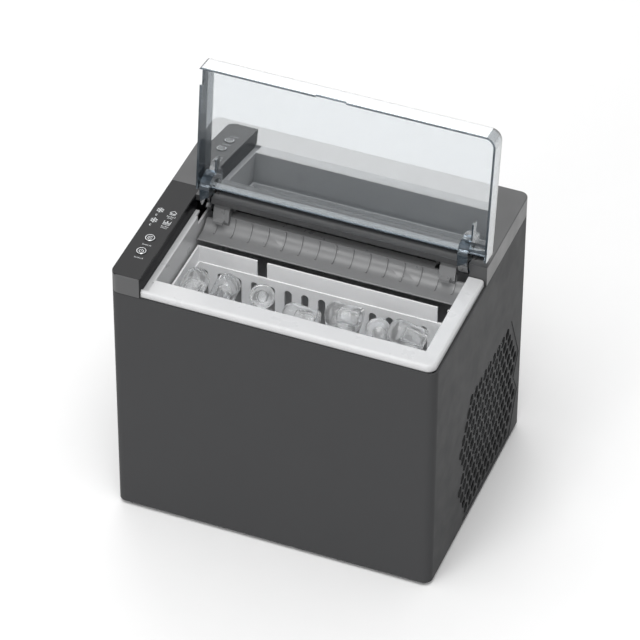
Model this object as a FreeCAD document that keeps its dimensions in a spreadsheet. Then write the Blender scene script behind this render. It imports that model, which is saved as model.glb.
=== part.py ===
import FreeCAD, Part
import math
import os
import re

import Sketcher
from FreeCAD import Placement, Rotation, Vector

# Countertop ice maker with a top-opening clear lid, shown with the lid standing open.
# Origin: centre of the footprint on the surface that it stands on.
# +X is the machine's right hand side, +Y its back, +Z up. Millimetres.

SIZES = {
    # case
    "case_width": 320, "case_depth": 253, "case_height": 288, "corner_radius": 8.5, "wall": 2.2,
    "foot_height": 4.3, "foot_radius": 9, "foot_inset": 24, "seam_height": 265.5, "seam_gap": 0.6,
    "rear_recess": 6, "rear_return": 12, "gap": 0.3,
    # honeycomb grilles in both sides
    "hex_pitch": 12.5, "hex_row_pitch": 12.1, "hex_half_width": 4.9, "hex_half_height": 6.9,
    "grille_y": 29, "grille_top_z": 150.3, "grille_recess": 0.6, "grille_margin": 5,
    # control strip on the left
    "strip_width": 29.5, "plate_thickness": 1.6, "plate_end_y": 20, "plate_inset": 0.4,
    "button_x": -144.7, "select_y": -67, "power_y": -87.3, "button_radius": 5.3,
    "button_rise": 0.8, "button_travel": 0.8, "stem_radius": 2.4, "board_z": 276.8,
    # hinge channel at the front edge of the rear deck
    "deck_front_y": 8.2, "channel_front_y": 15.7, "channel_back_y": 26, "channel_floor_z": 281.5,
    "block_left_x": 142.9, "deck_edge_radius": 0.7,
    # lid, drawn closed and then swung open about its hinge
    "lid_left_x": -129.5, "lid_length": 133.8, "lid_skirt": 19, "lid_left_skirt": 17,
    "lid_corner_skirt": 11, "lid_corner_run": 20, "lid_back_flange": 10.15, "lid_corner_radius": 11,
    "lid_edge_radius": 1.2, "lid_notch_width": 30, "lid_notch_depth": 2, "lid_open": 96.8,
    "hinge_y": 18.1, "hinge_z": 284.4, "pin_radius": 1.5, "pin_play": 0.06,
    "arm_width": 9.8, "right_arm_x": 131.6, "left_arm_x": -125.2, "arm_side_play": 0.6,
    # white tub with its rim
    "rim_height": 273.3, "rim_inset": 2.6, "rim_thickness": 2.5, "ledge_height": 270.3,
    "tub_left_x": -123.4, "tub_right_x": 142.5, "tub_front_y": -105, "tub_step_y": -6,
    "tub_back_y": 108, "tub_wall": 2, "sump_floor_z": 64, "chamber_floor_z": 172,
    "rest_height": 149.6, "left_way_y": -4.2,
    # lift-out ice basket
    "basket_left_x": -121, "basket_right_x": 137, "basket_front_y": -100, "basket_back_y": -11.2,
    "basket_floor_z": 150, "basket_top_z": 244.3, "basket_wall": 2.6, "basket_band_z": 226.3,
    "basket_band_wall": 1.7, "ice_radius": 12, "ice_length": 35, "ice_bore": 5.4,
    "slot_width": 7.5, "slot_pitch": 17, "slot_low_z": 166, "slot_top_z": 218.3,
    # ribbed ice shovel
    "shovel_left_x": -121.6, "shovel_right_x": 140.4, "lip_y": -9.8, "lip_z": 251.3, "lip_end_y": -0.6,
    "shovel_radius": 14.5, "flange_back_y": 24, "flange_left_x": -99, "flange_right_x": 106,
    "shovel_thickness": 2, "rib_pitch": 17, "rib_width": 1.5, "rib_height": 1.3,
    "shovel_pivot_y": 20, "shovel_pivot_z": 276.4, "shovel_arm_width": 16, "shovel_arm_left_x": -114,
    "shovel_arm_right_x": 112.5, "shovel_shaft_radius": 2, "end_notch_z": 259,
    # freezing fingers and tilting water tray
    "finger_x": 8, "finger_y": 44, "finger_pitch": 25, "finger_radius": 4.2, "finger_low_z": 229,
    "evaporator_z": 270, "evaporator_radius": 6, "tray_radius": 17, "tray_z": 243, "tray_rim_z": 250,
    "tray_left_x": -98.5, "tray_right_x": 114.5, "tray_pivot_y": 68, "tray_pivot_z": 256,
    "tray_shaft_radius": 3, "shaft_play": 0.08,
    # machinery
    "compressor_x": -75, "compressor_y": 62, "compressor_radius": 45, "compressor_low_z": 23,
    "compressor_top_z": 136, "condenser_x": 137, "condenser_half": 13, "coil_radius": 3,
    "coil_low_z": 30, "coil_pitch": 22, "fin_low_z": 18, "fin_top_z": 152, "fin_front_y": 16,
    "fin_pitch": 5, "fin_thickness": 0.8, "fan_x": 100, "fan_y": 56, "fan_z": 85, "fan_radius": 43,
    "fan_depth": 12, "fan_hub_radius": 14, "shroud_radius": 46, "pipe_radius": 3.2,
    "capillary_radius": 2, "discharge_z": 158, "pipe_back_y": 113.6, "drier_x": 20, "drier_y": 92,
    "drier_radius": 9, "valve_x": -8, "valve_y": 98, "pump_x": -40, "pump_y": -62, "hose_radius": 4, "gland_x": 105,
    "gland_z": 45, "gland_bore": 3.6, "drain_y": -84, "drain_z": 76, "spout_radius": 8,
    "spout_bore": 6, "float_x": 112, "float_y": -60,
}
FINGERS = 9
GRILLE_ROWS = (9, 10, 11, 12, 13, 12, 11, 12, 13, 12, 11, 10)   # holes in each row, from the top
SHOVEL_RIBS = 15
SLOTS_BACK = 15
SLOTS_SIDE = 4
FINS = 17
COIL_RUNS = 6
FAN_BLADES = 7
VENT_ROWS = 9

doc = FreeCAD.newDocument("IceMaker")
sheet = doc.addObject("Spreadsheet::Sheet", "Sizes")
for row, (alias, value) in enumerate(SIZES.items(), 1):
    sheet.set(f"A{row}", alias)
    sheet.set(f"B{row}", str(value))
    sheet.setAlias(f"B{row}", alias)
doc.recompute()

NODES = []


def size(alias):
    """A driving dimension, read from the sheet."""
    return float(sheet.get(alias))


def rule(text):
    """The FreeCAD expression for a rule written in the sheet's own words."""
    return re.sub(r"[a-z][a-z_]+", lambda word: "Sizes." + word.group(), str(text))


def bind(thing, **rules):
    for name, text in rules.items():
        thing.setExpression(name.replace("__", "."), rule(text))


def node(thing, label):
    """Marks an object as a finished piece, which gets a file of its own."""
    thing.Label = label
    NODES.append(thing)
    return thing


# ---------------------------------------------------------------- Part primitives and booleans

def box(name, x, y, z):
    """A box from three (low, high) pairs of rules."""
    thing = doc.addObject("Part::Box", name)
    (x0, x1), (y0, y1), (z0, z1) = x, y, z
    bind(thing, Length=f"({x1}) - ({x0})", Width=f"({y1}) - ({y0})", Height=f"({z1}) - ({z0})")
    bind(thing, Placement__Base__x=x0, Placement__Base__y=y0, Placement__Base__z=z0)
    return thing


AXIS_TURN = {
    "X": Rotation(Vector(0, 1, 0), 90),
    "Y": Rotation(Vector(1, 0, 0), -90),
    "Z": Rotation(),
}


def round_bar(name, axis, x, y, z, radius, length, kind="Part::Cylinder", top=None):
    """A cylinder (or cone) along an axis, starting at the point x, y, z."""
    thing = doc.addObject(kind, name)
    thing.Placement = Placement(Vector(), AXIS_TURN[axis])
    bind(thing, Placement__Base__x=x, Placement__Base__y=y, Placement__Base__z=z, Height=length)
    if kind == "Part::Cone":
        bind(thing, Radius1=radius, Radius2=top)
    else:
        bind(thing, Radius=radius)
    return thing


def fuse(name, *parts):
    thing = doc.addObject("Part::MultiFuse", name)
    thing.Shapes = list(parts)
    return thing


def group(name, *parts):
    """Separate solids kept together as one piece."""
    thing = doc.addObject("Part::Compound", name)
    thing.Links = list(parts)
    return thing


def cut(name, base, *tools):
    tool = tools[0] if len(tools) == 1 else fuse(name + "_tools", *tools)
    thing = doc.addObject("Part::Cut", name)
    thing.Base = base
    thing.Tool = tool
    return thing


def round_edges(name, base, radius, chosen):
    """Rounds the edges of base that the test accepts."""
    doc.recompute()
    numbers = [n for n, edge in enumerate(base.Shape.Edges, 1) if chosen(edge)]
    thing = doc.addObject("Part::Fillet", name)
    thing.Base = base
    thing.Edges = [(n, size(radius), size(radius)) for n in numbers]
    return thing


def made(name, shape):
    """A shape made with Part's own functions, where no primitive or sketch fits."""
    thing = doc.addObject("Part::Feature", name)
    thing.Shape = shape
    return thing


def upright_at(edge, x, y):
    """True for a vertical edge standing at x, y."""
    ends = [v.Point for v in edge.Vertexes]
    if len(ends) != 2 or abs(ends[0].z - ends[1].z) < 1:
        return False
    return all(abs(p.x - x) < 0.01 and abs(p.y - y) < 0.01 for p in ends)


# ---------------------------------------------------------------- PartDesign helpers

def new_body(name):
    return doc.addObject("PartDesign::Body", name)


def new_sketch(body, name, plane, offset="0"):
    sketch = body.newObject("Sketcher::SketchObject", name)
    origin = next(f for f in body.Origin.OriginFeatures if f.Role == plane)
    sketch.AttachmentSupport = [(origin, "")]
    sketch.MapMode = "FlatFace"
    bind(sketch, AttachmentOffset__Base__z=offset)
    return sketch


def rectangle(sketch, x, y):
    """A rectangle between two (low, high) pairs of rules, held by constraints from the sheet."""
    (x0, x1), (y0, y1) = x, y
    first = sketch.GeometryCount
    corners = [Vector(0, 0), Vector(20, 0), Vector(20, 10), Vector(0, 10)]
    for n in range(4):
        sketch.addGeometry(Part.LineSegment(corners[n], corners[(n + 1) % 4]), False)
    for n in range(4):
        sketch.addConstraint(Sketcher.Constraint("Coincident", first + n, 2, first + (n + 1) % 4, 1))
    for n, kind in enumerate(("Horizontal", "Vertical", "Horizontal", "Vertical")):
        sketch.addConstraint(Sketcher.Constraint(kind, first + n))
    held = (
        ("DistanceX", (-1, 1, first, 1), x0),
        ("DistanceY", (-1, 1, first, 1), y0),
        ("DistanceX", (first, 1, first, 2), f"({x1}) - ({x0})"),
        ("DistanceY", (first + 1, 1, first + 1, 2), f"({y1}) - ({y0})"),
    )
    for kind, points, text in held:
        number = sketch.addConstraint(Sketcher.Constraint(kind, *points, 5.0))
        sketch.setExpression(f"Constraints[{number}]", rule(text))


def disc(sketch, x, y, radius):
    """A circle held by constraints from the sheet."""
    first = sketch.GeometryCount
    sketch.addGeometry(Part.Circle(Vector(1, 1), Vector(0, 0, 1), 4), False)
    held = (("DistanceX", (-1, 1, first, 3), x), ("DistanceY", (-1, 1, first, 3), y))
    for kind, points, text in held:
        number = sketch.addConstraint(Sketcher.Constraint(kind, *points, 1.0))
        sketch.setExpression(f"Constraints[{number}]", rule(text))
    number = sketch.addConstraint(Sketcher.Constraint("Radius", first, 4.0))
    sketch.setExpression(f"Constraints[{number}]", rule(radius))


def outline(sketch, points):
    """A closed outline through points given in the sketch's own plane."""
    ends = points[1:] + points[:1]
    for a, b in zip(points, ends):
        sketch.addGeometry(Part.LineSegment(Vector(*a, 0), Vector(*b, 0)), False)


def feature(body, kind, name, sketch, length, reverse=False):
    """A Pad or Pocket of a sketch, with its length bound to the sheet."""
    thing = body.newObject("PartDesign::" + kind, name)
    thing.Profile = sketch
    bind(thing, Length=length)
    thing.Reversed = reverse
    sketch.Visibility = False
    doc.recompute()
    return thing


def spun(body, name, points):
    """A turned piece: an outline of (radius, height) points turned about the body's Z axis."""
    sketch = new_sketch(body, name + "_outline", "XZ_Plane")
    outline(sketch, points)
    turned = body.newObject("PartDesign::Revolution", name)
    turned.Profile = sketch
    turned.ReferenceAxis = (sketch, ["V_Axis"])
    turned.Angle = 360
    doc.recompute()
    return turned


# ---------------------------------------------------------------- Part function helpers

def polygon_bar(points, x0, x1):
    """A bar along X whose section is a closed line through (y, z) points."""
    wire = Part.makePolygon([Vector(x0, y, z) for y, z in points + points[:1]])
    return Part.Face(wire).extrude(Vector(x1 - x0, 0, 0))


def block(x0, x1, y0, y1, z0, z1):
    return Part.makeBox(x1 - x0, y1 - y0, z1 - z0, Vector(x0, y0, z0))


def rod(x, y, z, axis, length, radius):
    return Part.makeCylinder(radius, length, Vector(x, y, z), Vector(*axis))


def bent_pipe(points, radius, bend):
    """A pipe along straight runs joined by tangent arcs of one bend radius."""
    corners = [Vector(*p) for p in points]
    edges = []
    start = corners[0]
    for a, b, c in zip(corners, corners[1:], corners[2:]):
        into = (b - a).normalize()
        out = (c - b).normalize()
        half = into.getAngle(out) / 2
        reach = bend * math.tan(half)
        first = b - into * reach
        last = b + out * reach
        centre_way = (out - into).normalize()
        middle = b + centre_way * (bend / math.cos(half) - bend)
        edges.append(Part.LineSegment(start, first).toShape())
        edges.append(Part.Arc(first, middle, last).toShape())
        start = last
    edges.append(Part.LineSegment(start, corners[-1]).toShape())
    spine = Part.Wire(edges)
    way = (corners[1] - corners[0]).normalize()
    ring = Part.Wire(Part.makeCircle(radius, corners[0], way))
    return spine.makePipeShell([ring], True, False)


# ---------------------------------------------------------------- case

HALF_W = "case_width / 2"
HALF_D = "case_depth / 2"


def grille_holes():
    """Hexagonal holes through both side walls, in staggered rows that step in and out."""
    half_width, half_height = size("hex_half_width"), size("hex_half_height")
    outer = size("case_width") / 2
    holes = []
    for number, count in enumerate(GRILLE_ROWS):
        z = size("grille_top_z") - number * size("hex_row_pitch")
        for place in range(count):
            y = size("grille_y") + (place - (count - 1) / 2) * size("hex_pitch")
            ring = [(0, 1), (1, 0.5), (1, -0.5), (0, -1), (-1, -0.5), (-1, 0.5)]
            section = [(y + a * half_width, z + b * half_height) for a, b in ring]
            for side in (-1, 1):
                inner = side * (outer - 2 * size("wall"))
                holes.append(polygon_bar(section, inner, side * (outer + 1)))
    return Part.makeCompound(holes)


def grille_field():
    """The shallow recess that frames each grille: two hexagons, one above the other."""
    step, row_pitch = size("hex_pitch") / 2, size("hex_row_pitch")
    half = [(count - 1) * step + size("hex_half_width") + size("grille_margin") for count in GRILLE_ROWS]
    heights = [size("grille_top_z") - n * row_pitch for n in range(len(GRILLE_ROWS))]
    over = size("hex_half_height") + size("grille_margin") / 2
    corners = [0, 4, 6, 8, len(GRILLE_ROWS) - 1]
    right = [(size("grille_y") + half[n], heights[n]) for n in corners]
    right[0] = (right[0][0], heights[0] + over)
    right[-1] = (right[-1][0], heights[-1] - over)
    left = [(2 * size("grille_y") - y, z) for y, z in reversed(right)]
    outer, deep = size("case_width") / 2, size("grille_recess")
    return [polygon_bar(right + left, side * (outer - deep), side * (outer + 1)) for side in (-1, 1)]


def make_outer_shell():
    body = new_body("shell_body")
    profile = new_sketch(body, "shell_outline", "XY_Plane", "foot_height")
    rectangle(profile, (f"-{HALF_W}", HALF_W), (f"-{HALF_D}", HALF_D))
    feature(body, "Pad", "shell_pad", profile, "seam_height - foot_height")
    inside = new_sketch(body, "shell_inside", "XY_Plane", "seam_height")
    rectangle(inside, (f"-{HALF_W} + wall", f"{HALF_W} - wall"), (f"-{HALF_D} + wall", f"{HALF_D} - wall"))
    feature(body, "Pocket", "shell_hollow", inside, "seam_height - foot_height")
    for name, inset, radius in (("inner", size("wall"), "corner_radius - wall"), ("outer", 0, "corner_radius")):
        half_w, half_d = size("case_width") / 2 - inset, size("case_depth") / 2 - inset
        corners = [(x, y) for x in (-half_w, half_w) for y in (-half_d, half_d)]
        solid = body.Tip
        names = [f"Edge{n}" for n, edge in enumerate(solid.Shape.Edges, 1)
                 if any(upright_at(edge, *c) for c in corners)]
        rounded = body.newObject("PartDesign::Fillet", f"shell_{name}_corners")
        rounded.Base = (solid, names)
        bind(rounded, Radius=radius)
        doc.recompute()
    back = new_sketch(body, "shell_back_opening", "XY_Plane", "seam_height")
    rectangle(back, (f"-{HALF_W} + rear_return", f"{HALF_W} - rear_return"),
              (f"{HALF_D} - corner_radius", f"{HALF_D} + 1"))
    feature(body, "Pocket", "shell_back", back, "seam_height - foot_height")
    grilles = made("grille_cutter", Part.makeCompound([grille_holes()] + grille_field()))
    drain = round_bar("drain_opening", "X", f"-{HALF_W} - 1", "drain_y", "drain_z", "spout_radius + 5", "5")
    vented = cut("vented_shell", body, grilles)
    node(cut("outer_shell", vented, drain), "outer_shell")


def make_base():
    body = new_body("base_body")
    plan = new_sketch(body, "base_plan", "XY_Plane", "foot_height")
    side = f"{HALF_W} - wall - gap"
    front, back = f"-{HALF_D} + wall + gap", f"{HALF_D} - rear_recess - wall - gap"
    rectangle(plan, (f"-({side})", side), (front, back))
    slab = feature(body, "Pad", "base_slab", plan, "10")
    side_x, front_y = size("case_width") / 2, size("case_depth") / 2
    inset = size("wall") + size("gap")
    corners = [(sx * (side_x - inset), -front_y + inset) for sx in (-1, 1)]
    names = [f"Edge{n}" for n, edge in enumerate(slab.Shape.Edges, 1)
             if any(upright_at(edge, *c) for c in corners)]
    rounded = body.newObject("PartDesign::Fillet", "base_corners")
    rounded.Base = (slab, names)
    bind(rounded, Radius="corner_radius - wall")
    doc.recompute()
    tray = new_sketch(body, "base_tray", "XY_Plane", "foot_height + 10")
    rectangle(tray, (f"-({side}) + wall", f"{side} - wall"), (f"{front} + wall", f"{back} - wall"))
    feature(body, "Pocket", "base_hollow", tray, "7.5")
    node(body, "base_pan")
    feet = []
    for number, (sx, sy) in enumerate(((-1, -1), (1, -1), (-1, 1), (1, 1))):
        x, y = f"{sx} * ({HALF_W} - foot_inset)", f"{sy} * ({HALF_D} - foot_inset)"
        sole = round_bar(f"foot_sole_{number}", "Z", x, y, "0", "foot_radius - 1.2", "1.2",
                         "Part::Cone", "foot_radius")
        disc_part = round_bar(f"foot_disc_{number}", "Z", x, y, "1.2", "foot_radius", "foot_height - 1.2")
        feet.append(fuse(f"foot_{number}", sole, disc_part))
    node(group("feet", *feet), "rubber_feet")


def make_rear_panel():
    body = new_body("rear_body")
    face_y = f"{HALF_D} - rear_recess"
    profile = new_sketch(body, "rear_outline", "XZ_Plane", f"-({face_y})")
    side = f"{HALF_W} - wall - 3 * gap"
    rectangle(profile, (f"-({side})", side), ("foot_height", "seam_height - gap"))
    feature(body, "Pad", "rear_pad", profile, "wall")
    holes = new_sketch(body, "rear_holes", "XZ_Plane", f"-({face_y})")
    disc(holes, "gland_x", "gland_z", "7.1")
    feature(body, "Pocket", "gland_hole", holes, "wall + 2", True)
    vent = new_sketch(body, "vent_slot", "XZ_Plane", f"-({face_y})")
    rectangle(vent, ("-60", "60"), ("120", "124"))
    slot = feature(body, "Pocket", "vent", vent, "wall + 2", True)
    rows = body.newObject("PartDesign::LinearPattern", "vent_rows")
    rows.Originals = [slot]
    rows.Direction = (vent, ["V_Axis"])
    rows.Length = 10 * (VENT_ROWS - 1)
    rows.Occurrences = VENT_ROWS
    body.Tip = rows
    node(body, "rear_panel")
    screws = []
    for number, (x, z) in enumerate((x, z) for x in (-140, 0, 140) for z in (24, 250)):
        screws.append(round_bar(f"screw_{number}", "Y", str(x), face_y, str(z), "3.4", "1.8"))
    node(group("screws", *screws), "rear_screws")
    flange = round_bar("gland_flange", "Y", "gland_x", face_y, "gland_z", "10", "3.6")
    barrel = round_bar("gland_barrel", "Y", "gland_x", f"{face_y} - 7", "gland_z", "7", "7")
    bore = round_bar("gland_hole_tool", "Y", "gland_x", f"{face_y} - 8", "gland_z", "gland_bore", "20")
    node(cut("gland", fuse("gland_solid", flange, barrel), bore), "cord_gland")


ARM_SLOTS = (("right", "right_arm_x"), ("left", "left_arm_x"))


def make_top_deck():
    low, top = "seam_height + seam_gap", "case_height"
    strip_x = f"-{HALF_W} + strip_width"
    rear = box("deck_rear", (f"-{HALF_W}", HALF_W), ("deck_front_y", HALF_D), (low, top))
    strip = box("deck_strip", (f"-{HALF_W}", strip_x), (f"-{HALF_D}", "deck_front_y + 1"), (low, top))
    plain = fuse("deck_plain", rear, strip)
    half_w, half_d = size("case_width") / 2, size("case_depth") / 2
    corners = ((-half_w, half_d), (half_w, half_d), (-half_w, -half_d))
    rounded = round_edges("deck_rounded", plain, "corner_radius",
                          lambda edge: any(upright_at(edge, *c) for c in corners))
    crown = size("case_height")
    rounded = round_edges("deck_crown", rounded, "deck_edge_radius",
                          lambda edge: all(abs(v.Point.z - crown) < 0.01 for v in edge.Vertexes))
    skin = "case_height - plate_thickness - wall"
    rear_hollow = box("deck_rear_hollow", (f"-{HALF_W} + wall", f"{HALF_W} - wall"),
                      ("deck_front_y + wall", f"{HALF_D} - wall"), (f"{low} - 1", "case_height - wall"))
    strip_hollow = box("deck_strip_hollow", (f"-{HALF_W} + wall", f"{strip_x} - wall"),
                       (f"-{HALF_D} + wall", "deck_front_y + 3"), (f"{low} - 1", skin))
    patch = box("plate_patch", (f"-{HALF_W} + wall - 1", f"{strip_x} + 1"),
                ("deck_front_y", "plate_end_y + 2"), (skin, "case_height - wall + 0.5"))
    channel = box("channel_bar", (f"{strip_x} - 1", f"{HALF_W} - 1"),
                  ("deck_front_y", "channel_back_y + wall"), ("channel_floor_z", top))
    hollowed = cut("deck_hollowed", rounded, rear_hollow, strip_hollow)
    body = fuse("deck_body", hollowed, patch, channel)
    mouth = box("deck_mouth", (f"{strip_x} + 0.01", "block_left_x"), ("deck_front_y - 1", "deck_front_y + wall + 1"),
                (f"{low} - 1", "channel_floor_z"))
    groove = box("channel_groove", (f"{strip_x} + 1.5", f"{HALF_W} - 3"), ("channel_front_y", "channel_back_y"),
                 ("channel_floor_z + wall", f"{top} + 1"))
    plate_seat = box("plate_seat", (f"-{HALF_W} + plate_inset", f"{strip_x} + 1"),
                     (f"-{HALF_D} + plate_inset", "plate_end_y"), ("case_height - plate_thickness", f"{top} + 1"))
    keep = box("seat_keep", (strip_x, f"{strip_x} + 2"), ("deck_front_y", "plate_end_y + 1"),
               ("case_height - plate_thickness - 1", f"{top} + 1"))
    tools = [mouth, groove, cut("plate_seat_cut", plate_seat, keep)]
    for side, arm in ARM_SLOTS:
        play = "arm_side_play"
        tools.append(box(f"lip_slot_{side}", (f"{arm} - {play}", f"{arm} + arm_width + {play}"),
                         ("deck_front_y - 1", "channel_front_y + 1"), ("channel_floor_z - 1", f"{top} + 1")))
        tools.append(box(f"floor_slot_{side}", (f"{arm} - 3", f"{arm} + arm_width + 3"),
                         ("channel_front_y - 4", "channel_back_y + 4"),
                         ("channel_floor_z - 1", f"{top} - 2.3")))
    for name, y in (("select", "select_y"), ("power", "power_y")):
        tools.append(round_bar(f"{name}_stem_hole", "Z", "button_x", y, f"{skin} - 1", "stem_radius + 0.4", "6"))
    node(cut("top_deck", body, *tools), "top_deck")


def make_control_plate():
    body = new_body("plate_body")
    plan = new_sketch(body, "plate_outline", "XY_Plane", "case_height - plate_thickness")
    inset = "plate_inset + 0.2"
    rectangle(plan, (f"-{HALF_W} + {inset}", f"-{HALF_W} + strip_width - 0.2"),
              (f"-{HALF_D} + {inset}", "plate_end_y - 0.2"))
    pad = feature(body, "Pad", "plate_pad", plan, "plate_thickness")
    corner = (-size("case_width") / 2 + size("plate_inset") + 0.2,
              -size("case_depth") / 2 + size("plate_inset") + 0.2)
    names = [f"Edge{n}" for n, edge in enumerate(pad.Shape.Edges, 1) if
             all(abs(v.Point.x - corner[0]) < 0.01 and abs(v.Point.y - corner[1]) < 0.01 for v in edge.Vertexes)]
    rounded = body.newObject("PartDesign::Fillet", "plate_corner")
    rounded.Base = (pad, names)
    bind(rounded, Radius="corner_radius - plate_inset")
    doc.recompute()
    for name, y in (("select", "select_y"), ("power", "power_y")):
        hole = new_sketch(body, name + "_hole", "XY_Plane", "case_height")
        disc(hole, "button_x", y, "button_radius + gap")
        feature(body, "Pocket", name + "_pocket", hole, "plate_thickness")
    node(body, "control_plate")
    for name, y in (("select", "select_y"), ("power", "power_y")):
        cap = round_bar(f"{name}_cap", "Z", "button_x", y, "case_height - 0.7", "button_radius",
                        "button_rise + 0.7")
        stem = round_bar(f"{name}_stem", "Z", "button_x", y, "board_z + 5", "stem_radius",
                         "case_height - board_z - 5.5")
        node(fuse(f"{name}_button_solid", cap, stem), f"{name}_button")
    board = box("board_sheet", (f"-{HALF_W} + 4", f"-{HALF_W} + 26"), ("-112", "-8"), ("board_z", "board_z + 1.6"))
    parts = [board]
    for name, y in (("select", "select_y"), ("power", "power_y")):
        parts.append(box(f"{name}_switch", ("button_x - 3", "button_x + 3"), (f"{y} - 3", f"{y} + 3"),
                         ("board_z + 1.5", "board_z + 4")))
    parts.append(box("board_chip", ("button_x - 5", "button_x + 5"), ("-50", "-34"),
                     ("board_z + 1.5", "board_z + 3.2")))
    parts.append(box("board_plug", ("button_x - 6", "button_x + 6"), ("-24", "-14"),
                     ("board_z - 7", "board_z + 0.1")))
    node(fuse("board", *parts), "control_board")


# ---------------------------------------------------------------- lid and hinges

def arm_section():
    """Side outline of a lid arm with the lid open: a hook from the lid, in front of the deck's lip,
    to the hub on the hinge pin."""
    return [(22.4, 300.5), (22.9, 309.6), (15.5, 309.0), (9.0, 307.0), (5.4, 303.4), (4.2, 298.6),
            (4.4, 291.5), (6.2, 283.0), (8.6, 276.6), (11.6, 272.2), (15.4, 272.4), (17.0, 275.4),
            (21.2, 279.4), (22.6, 283.4), (21.6, 287.4), (18.8, 290.0), (15.6, 291.6), (13.6, 294.8),
            (14.6, 298.6), (17.8, 300.4)]


def make_lid():
    x0, x1 = size("lid_left_x"), size("case_width") / 2
    y0 = -size("case_depth") / 2
    y1 = y0 + size("lid_length")
    top, wall = size("case_height"), size("wall")
    low = top - size("lid_skirt")
    outer = block(x0, x1, y0, y1, low, top)
    upright = [e for e in outer.Edges if upright_at(e, x1, y0)]
    outer = outer.makeFillet(size("lid_corner_radius"), upright)
    small = [e for e in outer.Edges if upright_at(e, x0, y0)]
    outer = outer.makeFillet(2.5, small)
    rim = [e for e in outer.Edges if all(abs(v.Point.z - top) < 0.01 for v in e.Vertexes)]
    outer = outer.makeFillet(size("lid_edge_radius"), rim)
    inner = block(x0 + wall, x1 - wall, y0 + wall, y1 - wall, low - 1, top - wall)
    upright = [e for e in inner.Edges if upright_at(e, x1 - wall, y0 + wall)]
    inner = inner.makeFillet(size("lid_corner_radius") - wall, upright)
    shell = outer.cut(inner)
    corner_y = y0 + wall
    trims = [
        block(x0 - 1, x0 + wall, corner_y, y1 + 1, low - 1, top - size("lid_left_skirt")),
        block(x0 - 1, x0 + wall, corner_y, y0 + size("lid_corner_run"), low - 1, top - size("lid_corner_skirt")),
        block(x0 + wall, x1 - wall, y1 - wall - 0.1, y1 + 1, low - 1, top - size("lid_back_flange")),
        block(-size("lid_notch_width") / 2, size("lid_notch_width") / 2, y0 - 1, y0 + wall + 1, low - 1,
              low + size("lid_notch_depth")),
    ]
    shell = shell.cut(trims)
    pivot = Vector(0, size("hinge_y"), size("hinge_z"))
    swing = Placement(Vector(), Rotation(Vector(1, 0, 0), -size("lid_open")), pivot)
    closed = swing.inverse()
    pieces = [shell]
    for side, arm in ARM_SLOTS:
        start = size(arm)
        hook = polygon_bar(arm_section(), start, start + size("arm_width"))
        bent = [e for e in hook.Edges if abs(e.Vertexes[0].Point.x - e.Vertexes[-1].Point.x) > 1]
        hook = hook.makeFillet(0.9, bent[2:11])
        bore = rod(start - 1, size("hinge_y"), size("hinge_z"), (1, 0, 0), size("arm_width") + 2,
                   size("pin_radius") + size("pin_play"))
        hook = hook.cut(bore)
        hook.Placement = closed
        pieces.append(hook)
    gusset_x = size("right_arm_x") + size("arm_width")
    for x in (size("left_arm_x") + size("arm_width"), gusset_x - 1.6):
        pieces.append(block(x, x + 1.6, -22, -6, top - wall - 4, top - wall + 0.1))
    lid = pieces[0].fuse(pieces[1:]).removeSplitter()
    lid_object = made("lid_solid", lid)
    lid_object.Placement = swing
    node(lid_object, "lid")
    for side, arm in ARM_SLOTS:
        pin = round_bar(f"pin_{side}", "X", f"{arm} - 2.9", "hinge_y", "hinge_z", "pin_radius", "arm_width + 5.8")
        node(pin, f"hinge_pin_{side}")
        ears = []
        for end, x, foot in (("a", f"{arm} - 2.7", -4.3), ("b", f"{arm} + arm_width + 0.7", 2)):
            ear = box(f"ear_{side}_{end}", (x, f"{x} + 2"), ("hinge_y - 5", "hinge_y + 5"),
                      ("hinge_z - 5", "hinge_z"))
            sole = box(f"ear_sole_{side}_{end}", (f"{x} + {foot}", f"{x} + {foot} + 4.3"),
                       ("hinge_y - 5", "hinge_y + 5"), ("hinge_z - 5", "channel_floor_z"))
            head = round_bar(f"ear_head_{side}_{end}", "X", x, "hinge_y", "hinge_z", "2.35", "2")
            ears.append(fuse(f"ear_solid_{side}_{end}", ear, sole, head))
        pair = group(f"ears_{side}", *ears)
        bore = round_bar(f"ear_bore_{side}", "X", f"{arm} - 5", "hinge_y", "hinge_z", "pin_radius + pin_play",
                         "arm_width + 10")
        node(cut(f"bracket_{side}", pair, bore), f"hinge_bracket_{side}")


# ---------------------------------------------------------------- tub, basket and ice

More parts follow.
